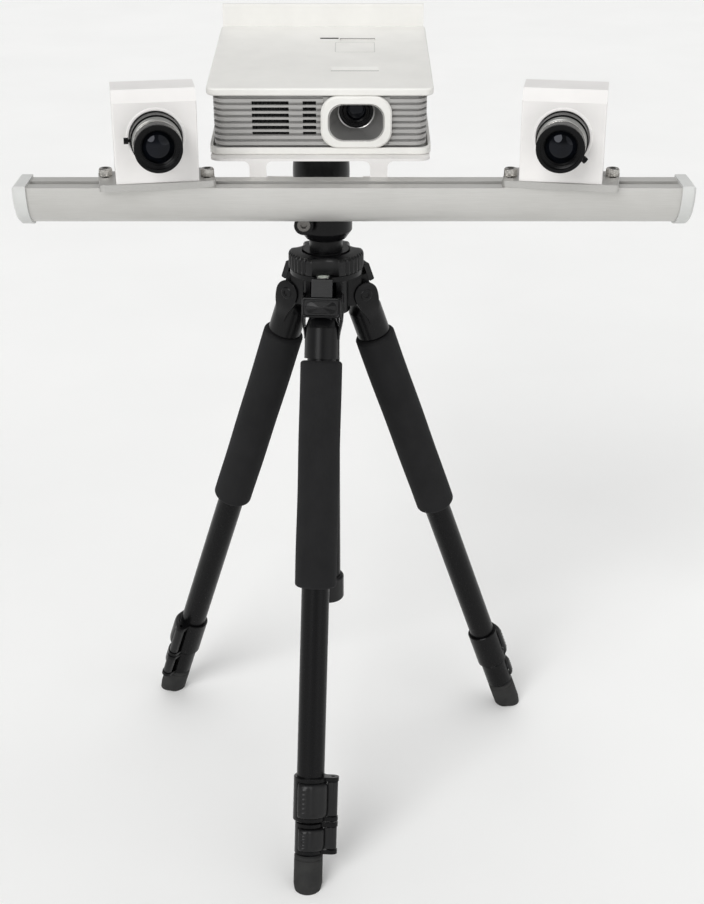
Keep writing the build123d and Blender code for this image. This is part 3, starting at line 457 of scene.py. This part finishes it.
def leg_place(leg):
    """Hinge at the origin, the leg down -Z, its outer side -Y and its lever side +X."""
    side = Vector(joints[f"{leg}_leg_fold"]["axis"])
    up = -Vector(joints[f"{leg}_middle_slide"]["axis"])
    return axes_place(side, up.cross(side), up, Vector(joints[f"{leg}_leg_fold"]["pos_m"]))


def lens_place(name):
    """Lens axis along +Z, out of the lens, from the foot of its focus joint; +Y is up."""
    joint = joints[f"{name}_lens_focus_turn"]
    out = Vector(joint["axis"])
    up = Vector((0, 0, 1))
    return axes_place(up.cross(out), up, out, Vector(joint["pos_m"]))


# ---------------------------------------------------------------- tripod
# Distances down a leg are counted from its hinge, as on the frame.
FOAM_FROM, FOAM_TO = 45.0, 233.0
FOAM_RADIUS, UPPER_RADIUS, MIDDLE_RADIUS = 17.4, 11.65, 9.7
LEVER_PIVOT, LEVER_STANDS = 19.0, 2.4  # from the leg's middle to the pin, and off the tube
UPPER_CLAMP, LOWER_CLAMP, LEVER_INSET = (-431.0, -393.5), (-459.5, -432.5), 3.9
FOOT_TOP, FOOT_TIP, FOOT_RADIUS, FOOT_BORE, FOOT_FLOOR = -460.5, -497.0, 12.15, 7.85, -484.0


def foam_grip(leg):
    """Sleeve: a rounded rectangle turned about the leg, with slow waves of under 0.3 mm."""
    corner_steps, rows, inside = 7, 60, UPPER_RADIUS + 0.05
    wall = rounded_path([(FOAM_RADIUS, -FOAM_FROM), (FOAM_RADIUS, -FOAM_TO), (inside, -FOAM_TO),
                         (inside, -FOAM_FROM)], (3.6, 3.6, 0.6, 0.6), corner_steps)
    steps = np.linspace(-FOAM_FROM - 4, -FOAM_TO + 4, rows)
    side = np.column_stack([np.full(rows, FOAM_RADIUS), steps])
    wall = np.concatenate([wall[:corner_steps + 1], side, wall[corner_steps + 1:]])

    def swell(angle, height):
        outer = (0.007 * np.sin(height * 0.071 + angle)
                 + 0.005 * np.sin(3 * angle + height * 0.033))
        return 1 - 0.006 + outer * (wall[None, :, 0] > UPPER_RADIUS + 2)

    grip = piece(skin(f"{leg}_foam_sleeve", lathe(wall, leg_place(leg), 72, swell)),
                 FOAM, f"{leg}_leg", [f"{leg}_foam_grip"])


def rubber_foot(leg):
    """Rubber sleeve with one groove and a rounded toe, cut flat at the floor's height."""
    radius, tip = FOOT_RADIUS, FOOT_TIP
    corners = [(FOOT_BORE, FOOT_TOP), (radius - 1.0, FOOT_TOP), (radius, FOOT_TOP - 1.5),
               (radius, -463.5), (radius - 0.5, -463.9), (radius - 0.5, -464.6),
               (radius, -465.0), (radius + 0.02, -486.0), (radius - 1.4, tip + 1.5),
               (ON_AXIS, tip), (ON_AXIS, FOOT_FLOOR), (FOOT_BORE, FOOT_FLOOR)]
    wall = rounded_path(corners, [0.2, 0.5, 0.6] + [0.2] * 4 + [1, 4, 0.0, 0.0, 0.2], 4)
    grid = lathe(wall, leg_place(leg), 72)
    grid[..., 2] = np.maximum(grid[..., 2], 0.0)
    piece(skin(f"{leg}_ribbed_foot", grid), RUBBER, f"{leg}_foot",
          [f"{leg}_rubber_foot"])


def lever_shell(leg, which, tube, clamp, body):
    """Flip lever: a pillowed plate bent round the clamp.

    Over angle and height its outside stands out by a superellipse, so that the rim is thin and
    round; six shallow ribs cross it near its free end, a barrel goes round the pin, and a web
    joins the two."""
    low, high = clamp[0] + LEVER_INSET, clamp[1] - LEVER_INSET
    outer = tube + LEVER_STANDS
    turns, rows = 56, 44
    a = np.linspace(0, 1, turns)[None, :]
    b = np.linspace(0, 1, rows)[:, None]
    start, end = np.radians(-18.0), np.radians(-128.0)
    angle = start + (end - start) * a + 0 * b
    z = low + (high - low) * b + 0 * a
    across, along = np.abs(2 * a - 1), np.abs(2 * b - 1)
    crown = np.clip(1 - across ** 7, 0, 1) ** 0.45 * np.clip(1 - along ** 7, 0, 1) ** 0.45
    rib_zone = np.exp(-((a - 0.80) / 0.055) ** 2)
    ribs = rib_zone * 0.45 * np.clip(np.sin(b * np.pi * 15), 0, 1) * (along < 0.8)
    waist = 0.45 * np.exp(-((a - 0.62) / 0.06) ** 2) * (1 - along ** 6)
    top = outer + 0.25 + 3.1 * crown + ribs - waist
    under = outer + 0.25 - 0.1 * crown
    front = np.stack([top * np.cos(angle), top * np.sin(angle), z], -1)
    back = np.stack([under * np.cos(angle), under * np.sin(angle), z], -1)
    barrel_radius = 4.4
    barrel = rounded_path([(ON_AXIS, low), (barrel_radius, low), (barrel_radius, high),
                           (ON_AXIS, high)], (0, 0.8, 0.8, 0), 4, False)
    spin = np.linspace(0, 2 * np.pi, 40, endpoint=False)[:, None]
    drum = np.stack([LEVER_PIVOT + barrel[None, :, 0] * np.cos(spin),
                     barrel[None, :, 0] * np.sin(spin), barrel[None, :, 1] + 0 * spin], -1)
    web = rounded_path([(outer + 0.6, -barrel_radius), (LEVER_PIVOT, -barrel_radius),
                        (LEVER_PIVOT, 0.0), (outer + 0.6, -1.8)], 0.5, 3)
    heights = np.array([low + 0.6, high - 0.6])[:, None, None]
    web = np.concatenate([web[None] + 0 * heights, 0 * web[None, :, :1] + heights], -1)
    place = leg_place(leg)
    shape = joined(f"{leg}_{which}_lever_plate",
                   [(put(np.concatenate([front, back[::-1]]) * MM, place), ROWS),
                    (put(drum * MM, place), ROWS),
                    (put(closed_middle(web) * MM, place), COLUMNS)])
    piece(shape, BLACK_NYLON, body, [f"{leg}_{which}_lever"])


def hinge_cheeks(leg):
    """Two cheeks beside a leg's hinge, each round above the pin and narrowing to a strap on the
    socket, and a cap with a round drive over each end of the pin.

    Down the leg, the half width is sqrt(R^2 - z^2) above the pin and falls off as a cosine
    below it."""
    radius, foot, clear, thick = 10.8, -27.0, 14.85, 1.7
    z = np.concatenate([radius * np.cos(np.linspace(0.06, np.pi / 2, 14)),
                        np.linspace(-1.2, foot, 18)])
    drop = np.clip(z / foot, 0, 1)
    width = np.where(z >= 0, np.sqrt(np.maximum(radius ** 2 - z ** 2, 0)),
                     5.0 + 2.9 * (1 + np.cos(np.pi * drop)))
    t = np.clip((drop - 0.35) / 0.65, 0, 1)
    lean = t ** 2 * (3 - 2 * t)
    inside, outside = clear - 1.5 * lean, clear + thick - 2.2 * lean
    edge = np.minimum(0.8, width / 2)
    place, parts = leg_place(leg), []
    for side in (-1, 1):
        ring = [(inside, -width), (outside - edge, -width),
                (outside - 0.25 * edge, -width + 0.25 * edge), (outside, -width + edge),
                (outside, width - edge), (outside - 0.25 * edge, width - 0.25 * edge),
                (outside - edge, width), (inside, width)]
        rows = np.stack([np.stack([side * x, y, z], -1) for x, y in ring], 1)
        parts.append((put(closed_middle(rows) * MM, place), COLUMNS))
        cap = rounded_path([(ON_AXIS, 16.3), (1.9, 16.3), (2.3, 17.2), (4.4, 17.2), (5.3, 16.5),
                            (5.3, 15.9), (ON_AXIS, 15.9)], (0, 0.2, 0.3, 0.8, 0.2, 0, 0), 3, False)
        aim = place @ Matrix.Rotation(np.radians(90 * side), 4, "Y")
        parts.append((lathe(cap, aim, 48), BOTH))
    piece(joined(f"{leg}_hinge_cheeks", parts), BLACK_PAINT, f"{leg}_leg")


def lock_collar():
    """Column lock: a ring with three smooth scoops, and ribs on the lobes between them.

    The outline is the smaller of the ring's radius and the distance to each scoop's circle, and
    the ribs are a wave on it that fades out towards the scoops."""
    radius, low, high, reach, scoop = 31.2, 485.1, 499.5, 40.8, 16.0
    blend, farthest = 0.35, 60         # softness of the scoops' rims, and cap on the distance
    bore, tray, tray_floor = 11.6, 19.5, high - 5.2
    angle = np.linspace(0, 2 * np.pi, 540, endpoint=False)
    outline = np.full_like(angle, radius)
    lobe = np.ones_like(angle)
    for k in range(3):
        turn = angle - np.radians(-90 + 120 * k)
        turn = np.arctan2(np.sin(turn), np.cos(turn))
        inside = scoop ** 2 - (reach * np.sin(turn)) ** 2
        hit = (inside > 0) & (np.cos(turn) > 0)
        cut = np.where(hit, reach * np.cos(turn) - np.sqrt(np.maximum(inside, 0)), 99)
        outline = -np.logaddexp(-outline / blend, -np.minimum(cut, farthest) / blend) * blend
        fade = np.clip((np.abs(turn) - np.radians(27)) / np.radians(4), 0, 1)
        lobe = np.minimum(lobe, fade)
    ribs = 1.25 * lobe * (0.5 - 0.5 * np.cos(angle * 42)) ** 1.5
    # Each step is (a fixed radius or 0 for the outline, inset from the outline, height).
    steps = [(bore, 0, low), (0, 1.4, low), (0, 0.35, low + 0.35), (0, 0, low + 1.2),
             (0, 0, high - 3.4), (0, 0.3, high - 2.3), (0, 0.9, high - 1.5),
             (0, 2.1, high - 0.4), (0, 3.6, high), (20.6, 0, high), (19.7, 0, high - 0.7),
             (tray, 0, tray_floor), (bore, 0, tray_floor)]
    rows = []
    for fixed, inset, z in steps:
        r = fixed if fixed else outline - inset - ribs * (0 if inset > 1.3 else 1)
        rows.append(np.stack([r * np.cos(angle), r * np.sin(angle), z + 0 * angle], -1))
    collar = skin("ribbed_lock_collar", np.stack(rows) * MM, sharp=28)
    piece(collar, BLACK_NYLON, "lock_collar", ["column_lock_collar"])


def spirit_level():
    """Round bubble level: a rim, a domed green window and a low bubble on it."""
    place = Matrix.Translation((-0.002, -0.0263, 0.4846))
    rim = rounded_path([(4.6, -1.0), (5.6, -1.0), (5.6, 0.35), (4.6, 0.35)], (0, 0, 0.3, 0.3), 4)
    piece(skin("level_rim", lathe(rim, place, 48)), RING_METAL, "spider")
    window = np.array([(ON_AXIS, 0.42), (1.5, 0.40), (3.0, 0.30), (4.2, 0.12), (4.7, -0.1),
                       (4.7, -0.9), (ON_AXIS, -0.9)])
    piece(skin("level_vial", lathe(window, place, 48)), VIAL, "spider")
    bubble = place @ Matrix.Translation((0.0009, -0.0006, 0.0001))
    drop = np.array([(ON_AXIS, 0.36), (0.7, 0.32), (1.15, 0.18), (1.3, 0.0), (ON_AXIS, 0.0)])
    piece(skin("level_bubble", lathe(drop, bubble, 32)), BUBBLE, "spider")


def badge_plate():
    """Blank name plate on the front leg's shoulder: a tray with a raised rim and an oval."""
    place = (leg_place("front") @ Matrix.Translation((0, -0.0146, -0.0015))
             @ Matrix.Rotation(np.radians(90), 4, "X"))
    outer = box_outline(-16, 16, -8.2, 8.2, 2.2)
    rim = rim_grid(outer, [(0.0, -4.0), (0.0, 1.2), (0.25, 1.65), (0.7, 1.9), (1.5, 1.9),
                           (1.9, 1.6), (2.1, 1.2), (16.0, 1.2)])
    oval = box_outline(-12.6, 12.6, -4.9, 4.9, 4.6)
    field = rim_grid(oval, [(0.0, 1.1), (0.0, 1.45), (0.35, 1.7), (12.0, 1.8)])
    shape = joined("front_blank_badge", [(put(closed(rim) * MM, place), BOTH),
                                         (put(closed(field) * MM, place), BOTH)])
    piece(shape, BLACK_PAINT, "front_leg")


def leg_label():
    """Blank sticker outline on the right leg: a thin frame bent round the tube."""
    radius, half_turn, low, high = UPPER_RADIUS + 0.12, 0.42, -281.0, -239.0
    under, line, faces = radius - 0.3, 0.7, np.radians(62)
    outer = box_outline(-half_turn * radius, half_turn * radius, low, high, 2.0, 6)
    middle = np.array([0.0, (low + high) / 2])
    inner = middle + (outer - middle) * (1 - line / np.abs(outer - middle).max(0))
    rows = []
    for row, r in ((outer, under), (inner, under), (inner, radius), (outer, radius)):
        angle = row[:, 0] / r - faces
        rows.append(np.stack([r * np.cos(angle), r * np.sin(angle), row[:, 1]], -1))
    frame_grid = put(np.stack(rows) * MM, leg_place("right"))
    piece(skin("leg_label_frame", frame_grid), LABEL_WHITE, "right_leg")


# ---------------------------------------------------------------- lenses of the cameras
# Heights are ahead of the focus ring's middle, along the lens axis.
RING_HALF, RING_RADIUS, RING_BORE, BARREL_FROM = 5.7, 18.4, 15.7, 6.0


def camera_lens(name):
    """Focus ring with straight knurls, bright edge line, filter rim and domed glass."""
    place = lens_place(name)
    body, ring_body = f"{name}_camera", f"{name}_lens_focus"
    ring, half, start = RING_RADIUS, RING_HALF, BARREL_FROM
    wall = rounded_path([(RING_BORE, -half), (ring - 0.7, -half), (ring, -half + 0.6),
                         (ring, -4.0), (ring - 0.5, -3.6), (ring - 0.5, 0.6), (ring, 1.0),
                         (ring, 2.0), (ring - 1.3, 2.5), (ring - 1.3, 3.9), (ring - 0.3, 4.3),
                         (ring - 0.3, half), (RING_BORE, half)], 0.15, 2)

    def grip_zone(height):
        inside = np.minimum(height + 3.7, 0.7 - height)
        return np.clip(inside / 0.5, 0, 1) * (wall[None, :, 0] > 17)

    knurled = lathe(wall, place, 432, knurls(72, 0.022, grip_zone))
    piece(skin(f"{name}_knurled_ring", knurled, sharp=24), RING_METAL, ring_body,
          [f"{name}_focus_ring"])
    line = rounded_path([(17.0, start + 0.1), (18.05, start + 0.1), (18.05, start + 1.0),
                         (17.0, start + 1.0)], 0.2, 3)
    piece(skin(f"{name}_bright_line", lathe(line, place)), STEEL, body)
    front = rounded_path([(17.5, 8.0), (17.9, 8.4), (17.9, 17.9), (17.3, 18.99), (16.5, 18.99),
                          (15.7, 18.2), (15.3, 15.6), (13.9, 15.2), (13.8, 14.4),
                          (17.5, 14.4)], 0.25, 3)
    piece(skin(f"{name}_front_rim", lathe(front, place)), LENS_METAL, body)
    zigzag = [(15.6 - 0.35 * (k % 2), 18.3 - 0.33 * k) for k in range(9)]
    threads = lathe(np.array(zigzag + [(15.9, 15.6), (15.9, 18.3)]), place, 72)
    piece(skin(f"{name}_filter_threads", threads, sharp=20), LENS_METAL, body)
    cone = rounded_path([(13.9, 15.3), (12.9, 14.6), (12.9, 13.9), (11.95, 13.3), (11.95, 11.9),
                         (14.5, 11.9), (14.5, 15.3)], 0.2, 3)
    piece(skin(f"{name}_lens_cone", lathe(cone, place, 72)), LENS_METAL, body)
    glass = dome(radius=11.9, height=4.4, base=12.4, under=11.6)
    piece(skin(f"{name}_front_glass", lathe(glass, place, 72)), LENS_GLASS, body)


# ---------------------------------------------------------------- camera housings and screws
HOUSING_FRONT, HOUSING_DEPTH = -18.0, 39.05


def camera_trim(name):
    """Rolled lip round the lens hole, rear connector panel and knurls of the clamp screws."""
    place = lens_place(name)
    body = f"{name}_camera"
    front, rear = HOUSING_FRONT, HOUSING_FRONT - HOUSING_DEPTH
    lip = rounded_path([(19.75, front - 0.9), (19.75, front + 0.35), (20.3, front + 0.95),
                        (21.6, front + 0.7), (22.6, front + 0.05), (20.9, front - 0.1),
                        (20.6, front - 0.9)], 0.3, 4)
    piece(skin(f"{name}_lens_hole_lip", lathe(lip, place, 120), sharp=50), WHITE_PAINT, body)
    panel = plate_on(place, box_outline(-22, 22, -21, 21, 3.0), rear - 1.1, rear, 0.4)
    piece(skin(f"{name}_rear_panel", panel, COLUMNS), BLACK_PAINT, body)
    parts = []
    for x, y, radius in ((-9, 9, 5.6), (10, 9, 4.2)):
        hole = radius - 1.9
        socket = rounded_path([(ON_AXIS, -1.5), (hole, -1.5), (hole, -5.2), (radius, -5.2),
                               (radius, -1.0), (ON_AXIS, -1.0)], (0, 0, 0.3, 0.4, 0, 0), 3, False)
        spot = place @ Matrix.Translation(Vector((x, y, rear)) * MM)
        parts.append((lathe(socket, spot, 40), BOTH))
    port = plate_on(place @ Matrix.Translation((0, -0.009, 0)),
                    box_outline(-8, 8, -4, 4, 1.6), rear - 2.6, rear - 1.0, 0.3)
    parts.append((port, COLUMNS))
    piece(joined(f"{name}_rear_sockets", parts), RING_METAL, body)
    low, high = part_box(f"{name}_clamp_screws")
    inset, screw_y, head_drop = 0.0065, -0.0705, 0.006
    sleeves = []
    for x in (low[0] + inset, high[0] - inset):
        spot = Matrix.Translation((x, screw_y, high[2] - head_drop))
        wall = rounded_path([(4.8, 0.25), (5.15, 0.45), (5.15, 5.0), (4.8, 5.3)], 0.1, 2)
        sleeves.append((lathe(wall, spot, 240, knurls(40, 0.035, lambda z: z > 0.3)), BOTH))
    piece(joined(f"{name}_screw_knurls", sleeves, 24), STEEL, f"{name}_carriage")


# ---------------------------------------------------------------- projector
# Local axes of the tilted body: x to the right of someone who faces it, y to the back, z up.
LENS_X, LENS_Y, LENS_Z = 28.0, 22.4, 29.0
BEZEL_X, BEZEL_Z, COVER_TOP = 28.2, 26.5, 53.0
REAR_Y, REAR_Z = 170.5, 25.5
# Strips of painted shade on the lid, dark where its slot and recesses fall into shade: (piece, material, ((x from,
# to, y from, to, drop below the face), ...)).
LID_PAINTED_SHADE = (("projector_lid_slot_painted_shadow", BLACK_NYLON, ((-1.9, 13.4, 140.8, 140.95, 1.9),)),
             ("projector_recess_painted_shade", RECESS_PAINTED_SHADE, ((14.6, 43.9, 139.3, 139.45, 0.7),
                                                      (8.1, 45.9, 45.6, 47.0, 1.5))))


def projector_axes():
    """Side, up and out of the projector, and where its lens axis starts."""
    joint = joints["projector_focus_turn"]
    out, side = Vector(joint["axis"]), Vector((1, 0, 0))
    return side, out.cross(side), out, Vector(joint["pos_m"])


def projector_place():
    side, up, out, lens = projector_axes()
    origin = lens - (side * LENS_X - out * LENS_Y + up * LENS_Z) * MM
    return axes_place(side, -out, up, origin)


def projector_lens_place():
    _, up, out, lens = projector_axes()
    return axes_place(up.cross(out), up, out, lens)


def upright(outline, depth, middle_x, middle_z):
    """An outline stood up across the body at one depth, round a middle."""
    return np.column_stack([outline[:, 0] + middle_x, np.full(len(outline), depth),
                            outline[:, 1] + middle_z])


def funnel_liner():
    """Silver reflector round the lens: straight walls from a rounded rectangle to a round throat.

    Each row is the straight mix of the two outlines, drawn in by the liner's gap."""
    place = projector_place()
    mouth, throat = face_outline(44, 30, 12), face_outline(26.6, 26.6, 13.2)
    mouth_depth, length, rise = -1.6, 24.0, 2.5
    flange_depth, flange_radius, thick = 20.0, 12.5, 0.35
    rows = []
    for depth, gap in ((-1.1, 1.0), (-1.25, 0.55), (-0.9, 0.3), (4.0, 0.3), (10.0, 0.3),
                       (16.0, 0.3), (19.2, 0.3), (19.6, 0.8)):
        f = (depth - mouth_depth) / length
        outline = (1 - f) * mouth + f * throat
        outline = outline * (1 - gap / np.abs(outline).max(0))
        rows.append(upright(outline, depth, LENS_X, BEZEL_Z + rise * f))
    spread = rows[-1] - (LENS_X, 0, LENS_Z)
    reach = np.hypot(spread[:, 0], spread[:, 2])[:, None]
    rows.append(np.array((LENS_X, flange_depth, LENS_Z))
                + spread * (1, 0, 1) / reach * flange_radius)
    outer = [row + (0, thick, 0) for row in rows[::-1]]
    piece(skin("projector_funnel_liner", put(np.stack(rows + outer) * MM, place), sharp=24),
          SILVER_PAINT, "scanner")


def projector_lens():
    """Stepped black rings, a domed front glass and a knurled focus ring about the lens axis."""
    place = projector_lens_place()
    rings = rounded_path([(10.62, 2.0), (10.62, 4.2), (9.4, 4.6), (8.85, 4.1), (8.85, 3.3),
                          (8.2, 3.1), (8.2, 2.4), (7.6, 2.2), (7.6, 1.2), (8.9, 1.1),
                          (8.9, 2.0)], 0.15, 3)
    piece(skin("projector_lens_rings", lathe(rings, place)), LENS_METAL, "scanner")
    glass = dome(radius=7.7, height=1.9, base=1.5, under=1.05)
    piece(skin("projector_front_glass", lathe(glass, place, 72)), LENS_GLASS, "scanner")
    wall = rounded_path([(10.75, -3.5), (12.3, -3.5), (12.3, 2.2), (11.5, 3.0), (10.75, 3.0)],
                        (0.1, 0.3, 0.5, 0.4, 0.1), 4)
    knurled = lathe(wall, place, 360, knurls(60, 0.03, lambda z: z < 2.3))
    piece(skin("projector_knurled_ring", knurled, sharp=24), LENS_METAL, "projector_focus",
          ["projector_focus_ring"])
    throat = rounded_path([(10.9, 3.08), (13.2, 3.08), (13.2, 3.55), (10.9, 3.55)], 0.15, 3)
    piece(skin("projector_throat_ring", lathe(throat, place)), LENS_METAL, "scanner")


def painted_shade_strip(place, x0, x1, y0, y1, drop):
    """Thin strip of painted shade on a wall of a recess of the lid, from drop below the lid's face up to it."""
    outline = np.array([(x0, y0), (x1, y0), (x1, y1), (x0, y1)], float)
    rows = [np.column_stack([outline, np.full(4, COVER_TOP + z)]) for z in (0.04 - drop, -0.04)]
    return put(closed_middle(np.stack(rows)) * MM, place)


def projector_front_and_lid():
    """Dark wavy screen behind the vents, ring behind the bezel, the label frame on the lid, and strips of painted
    shade in the lid's slot and recesses.
    """
    place = projector_place()
    x, z = np.linspace(-56, 0, 113)[:, None], np.linspace(9.5, 44.5, 12)[None, :]
    wave = 8.6 + 0.5 * np.sin(x * np.pi / 1.6) + 0 * z
    front = np.stack([x + 0 * z, wave, z + 0 * x], -1)
    screen = np.concatenate([front, (front + (0, 0.8, 0))[::-1]])
    piece(skin("projector_vent_screen", put(screen * MM, place), ROWS, 60), BLACK_NYLON,
          "scanner")
    label = rim_grid(face_outline(32.7, 29.0, 1.2, 4),
                     [(0, -0.05), (0, 0.12), (0.45, 0.12), (0.45, -0.05)])
    label += (27.15, 112.5, COVER_TOP)
    piece(skin("projector_label_frame", put(label * MM, place)), LABEL_GREY, "scanner")
    surround = [upright(face_outline(width, height, corner), depth, BEZEL_X, BEZEL_Z)
                for width, height, corner, depth in (
                    (51.4, 37.4, 0.6, 3.4), (49.0, 35.0, 12.0, 3.4),
                    (49.0, 35.0, 12.0, 4.8), (51.4, 37.4, 0.6, 4.8))]
    piece(skin("projector_bezel_surround", put(np.stack(surround) * MM, place)), LOUVRE_ABS,
          "scanner")
    # The black strip in the slot and the grey strips on the recess walls are painted shade.
    for part, material, walls in LID_PAINTED_SHADE:
        strips = [(painted_shade_strip(place, *wall), COLUMNS) for wall in walls]
        piece(joined(part, strips), material, "scanner")


def projector_rear():
    """Panel on the back with four square sockets and three jacks."""
    back = (projector_place() @ Matrix.Translation(Vector((0, REAR_Y, REAR_Z)) * MM)
            @ Matrix.Rotation(np.radians(-90), 4, "X"))
    face = 0.9
    panel = plate_on(back, face_outline(132, 28, 4, 5), -0.3, face, 0.4)
    piece(skin("projector_rear_panel", panel, COLUMNS), LOUVRE_ABS, "scanner")
    sockets = []
    for cx, width, height, corner in ((-50, 27, 20, 3.5), (-22, 16, 6, 0.8), (-2, 16.5, 8, 2.5),
                                      (20, 16.5, 8, 2.5)):
        spot = back @ Matrix.Translation(Vector((cx, 0, face)) * MM)
        rows = rim_grid(face_outline(width, height, corner, 5),
                        [(0, -0.5), (0, 0.5), (0.4, 0.8), (1.1, 0.8), (1.4, 0.5), (1.4, -0.4)])
        rows = np.concatenate([rows, rows[-1:] * (0.001, 0.001, 1), rows[:1] * (0.001, 0.001, 1)])
        sockets.append((put(rows * MM, spot), BOTH))
    for cx, radius in ((38, 3.2), (46, 3.2), (56, 4.0)):
        hole = radius - 1.3
        jack = rounded_path([(ON_AXIS, -0.4), (hole, -0.4), (hole, 1.0), (radius, 1.0),
                             (radius, -0.4)], (0, 0.1, 0.2, 0.3, 0), 3, False)
        spot = back @ Matrix.Translation(Vector((cx, 0, face)) * MM)
        sockets.append((lathe(jack, spot, 36), BOTH))
    piece(joined("projector_rear_sockets", sockets), BLACK_NYLON, "scanner")


for leg_name in LEGS:
    foam_grip(leg_name)
    rubber_foot(leg_name)
    hinge_cheeks(leg_name)
    lever_shell(leg_name, "upper", UPPER_RADIUS, UPPER_CLAMP, f"{leg_name}_upper_lock")
    lever_shell(leg_name, "lower", MIDDLE_RADIUS, LOWER_CLAMP, f"{leg_name}_lower_lock")
lock_collar()
spirit_level()
badge_plate()
leg_label()
for camera_name in CAMERAS:
    camera_lens(camera_name)
    camera_trim(camera_name)
funnel_liner()
projector_lens()
projector_front_and_lid()
projector_rear()


# ---------------------------------------------------------------- camera, floor and light
EYE, LOOKS_DOWN_DEG = (21.5, -1266.3, 901.8), 24.67
FOCAL, SENSOR, SHIFT = 63.43, 36.0, -0.006637168
FLOOR_HALF_M = 40.0
WORLD_LOW, WORLD_HIGH = 0.9, 0.24      # brightness of the surroundings low down and high up
FADE_FROM, FADE_TO = 0.06, 0.34        # sines of the elevations between which it changes
# Each sun is (name, direction it comes from, strength, apparent width in degrees).
SUNS = (("key", (-0.7, -1.3, 1.0), 1.75, 36), ("fill", (1.1, -0.9, 0.8), 0.55, 60),
        ("top", (0.1, 0.5, 1.5), 0.9, 60))


def make_camera():
    """Camera in front of the scanner, a little above it and looking down."""
    camera = bpy.data.cameras.new("camera")
    camera.lens = FOCAL
    camera.sensor_width = SENSOR
    camera.shift_y = SHIFT
    camera.clip_start = 0.01
    holder = bpy.data.objects.new("camera", camera)
    holder.location = Vector(EYE) * MM
    holder.rotation_euler = (np.radians(90 - LOOKS_DOWN_DEG), 0, 0)
    bpy.context.scene.collection.objects.link(holder)
    bpy.context.scene.camera = holder


def sun(name, direction, strength, spread):
    """Broad soft lamp of even strength, shining from a direction."""
    lamp = bpy.data.lights.new(name, "SUN")
    lamp.energy = strength
    lamp.angle = np.radians(spread)
    holder = bpy.data.objects.new(name, lamp)
    holder.rotation_euler = Vector(direction).to_track_quat("Z", "Y").to_euler()
    holder.location = direction
    bpy.context.scene.collection.objects.link(holder)


def make_floor():
    """Plain pale floor, much wider than the view."""
    half = FLOOR_HALF_M
    mesh = bpy.data.meshes.new("floor")
    mesh.from_pydata([(-half, -half, 0), (half, -half, 0), (half, half, 0), (-half, half, 0)],
                     [], [(0, 1, 2, 3)])
    floor = bpy.data.objects.new("floor", mesh)
    bpy.context.scene.collection.objects.link(floor)
    material, principled = new_material("studio_floor", Roughness=0.9, Specular_IOR_Level=0.1)
    cloud = pattern(material, size_mm=400.0)
    two_tones(material, principled, (cloud, "Fac"), "#F9F9F8", "#FCFCFB")
    mesh.materials.append(material)


def make_light():
    """Pale surroundings, brighter low down, and broad soft lamps."""
    world = bpy.data.worlds.new("studio")
    world.use_nodes = True
    background = world.node_tree.nodes["Background"]
    background.inputs["Color"].default_value = srgb("#FFFFFF")
    direction = add(world, "ShaderNodeTexCoord")
    height = add(world, "ShaderNodeSeparateXYZ", Vector=(direction, "Generated"))
    strength = add(world, "ShaderNodeMapRange", Value=(height, "Z"), From_Min=FADE_FROM,
                   From_Max=FADE_TO, To_Min=WORLD_LOW, To_Max=WORLD_HIGH)
    link(world, strength, "Result", background, "Strength")
    bpy.context.scene.world = world
    bpy.context.scene.view_settings.view_transform = "Standard"
    for lamp in SUNS:
        sun(*lamp)


dress_frame()
make_camera()
make_floor()
make_light()
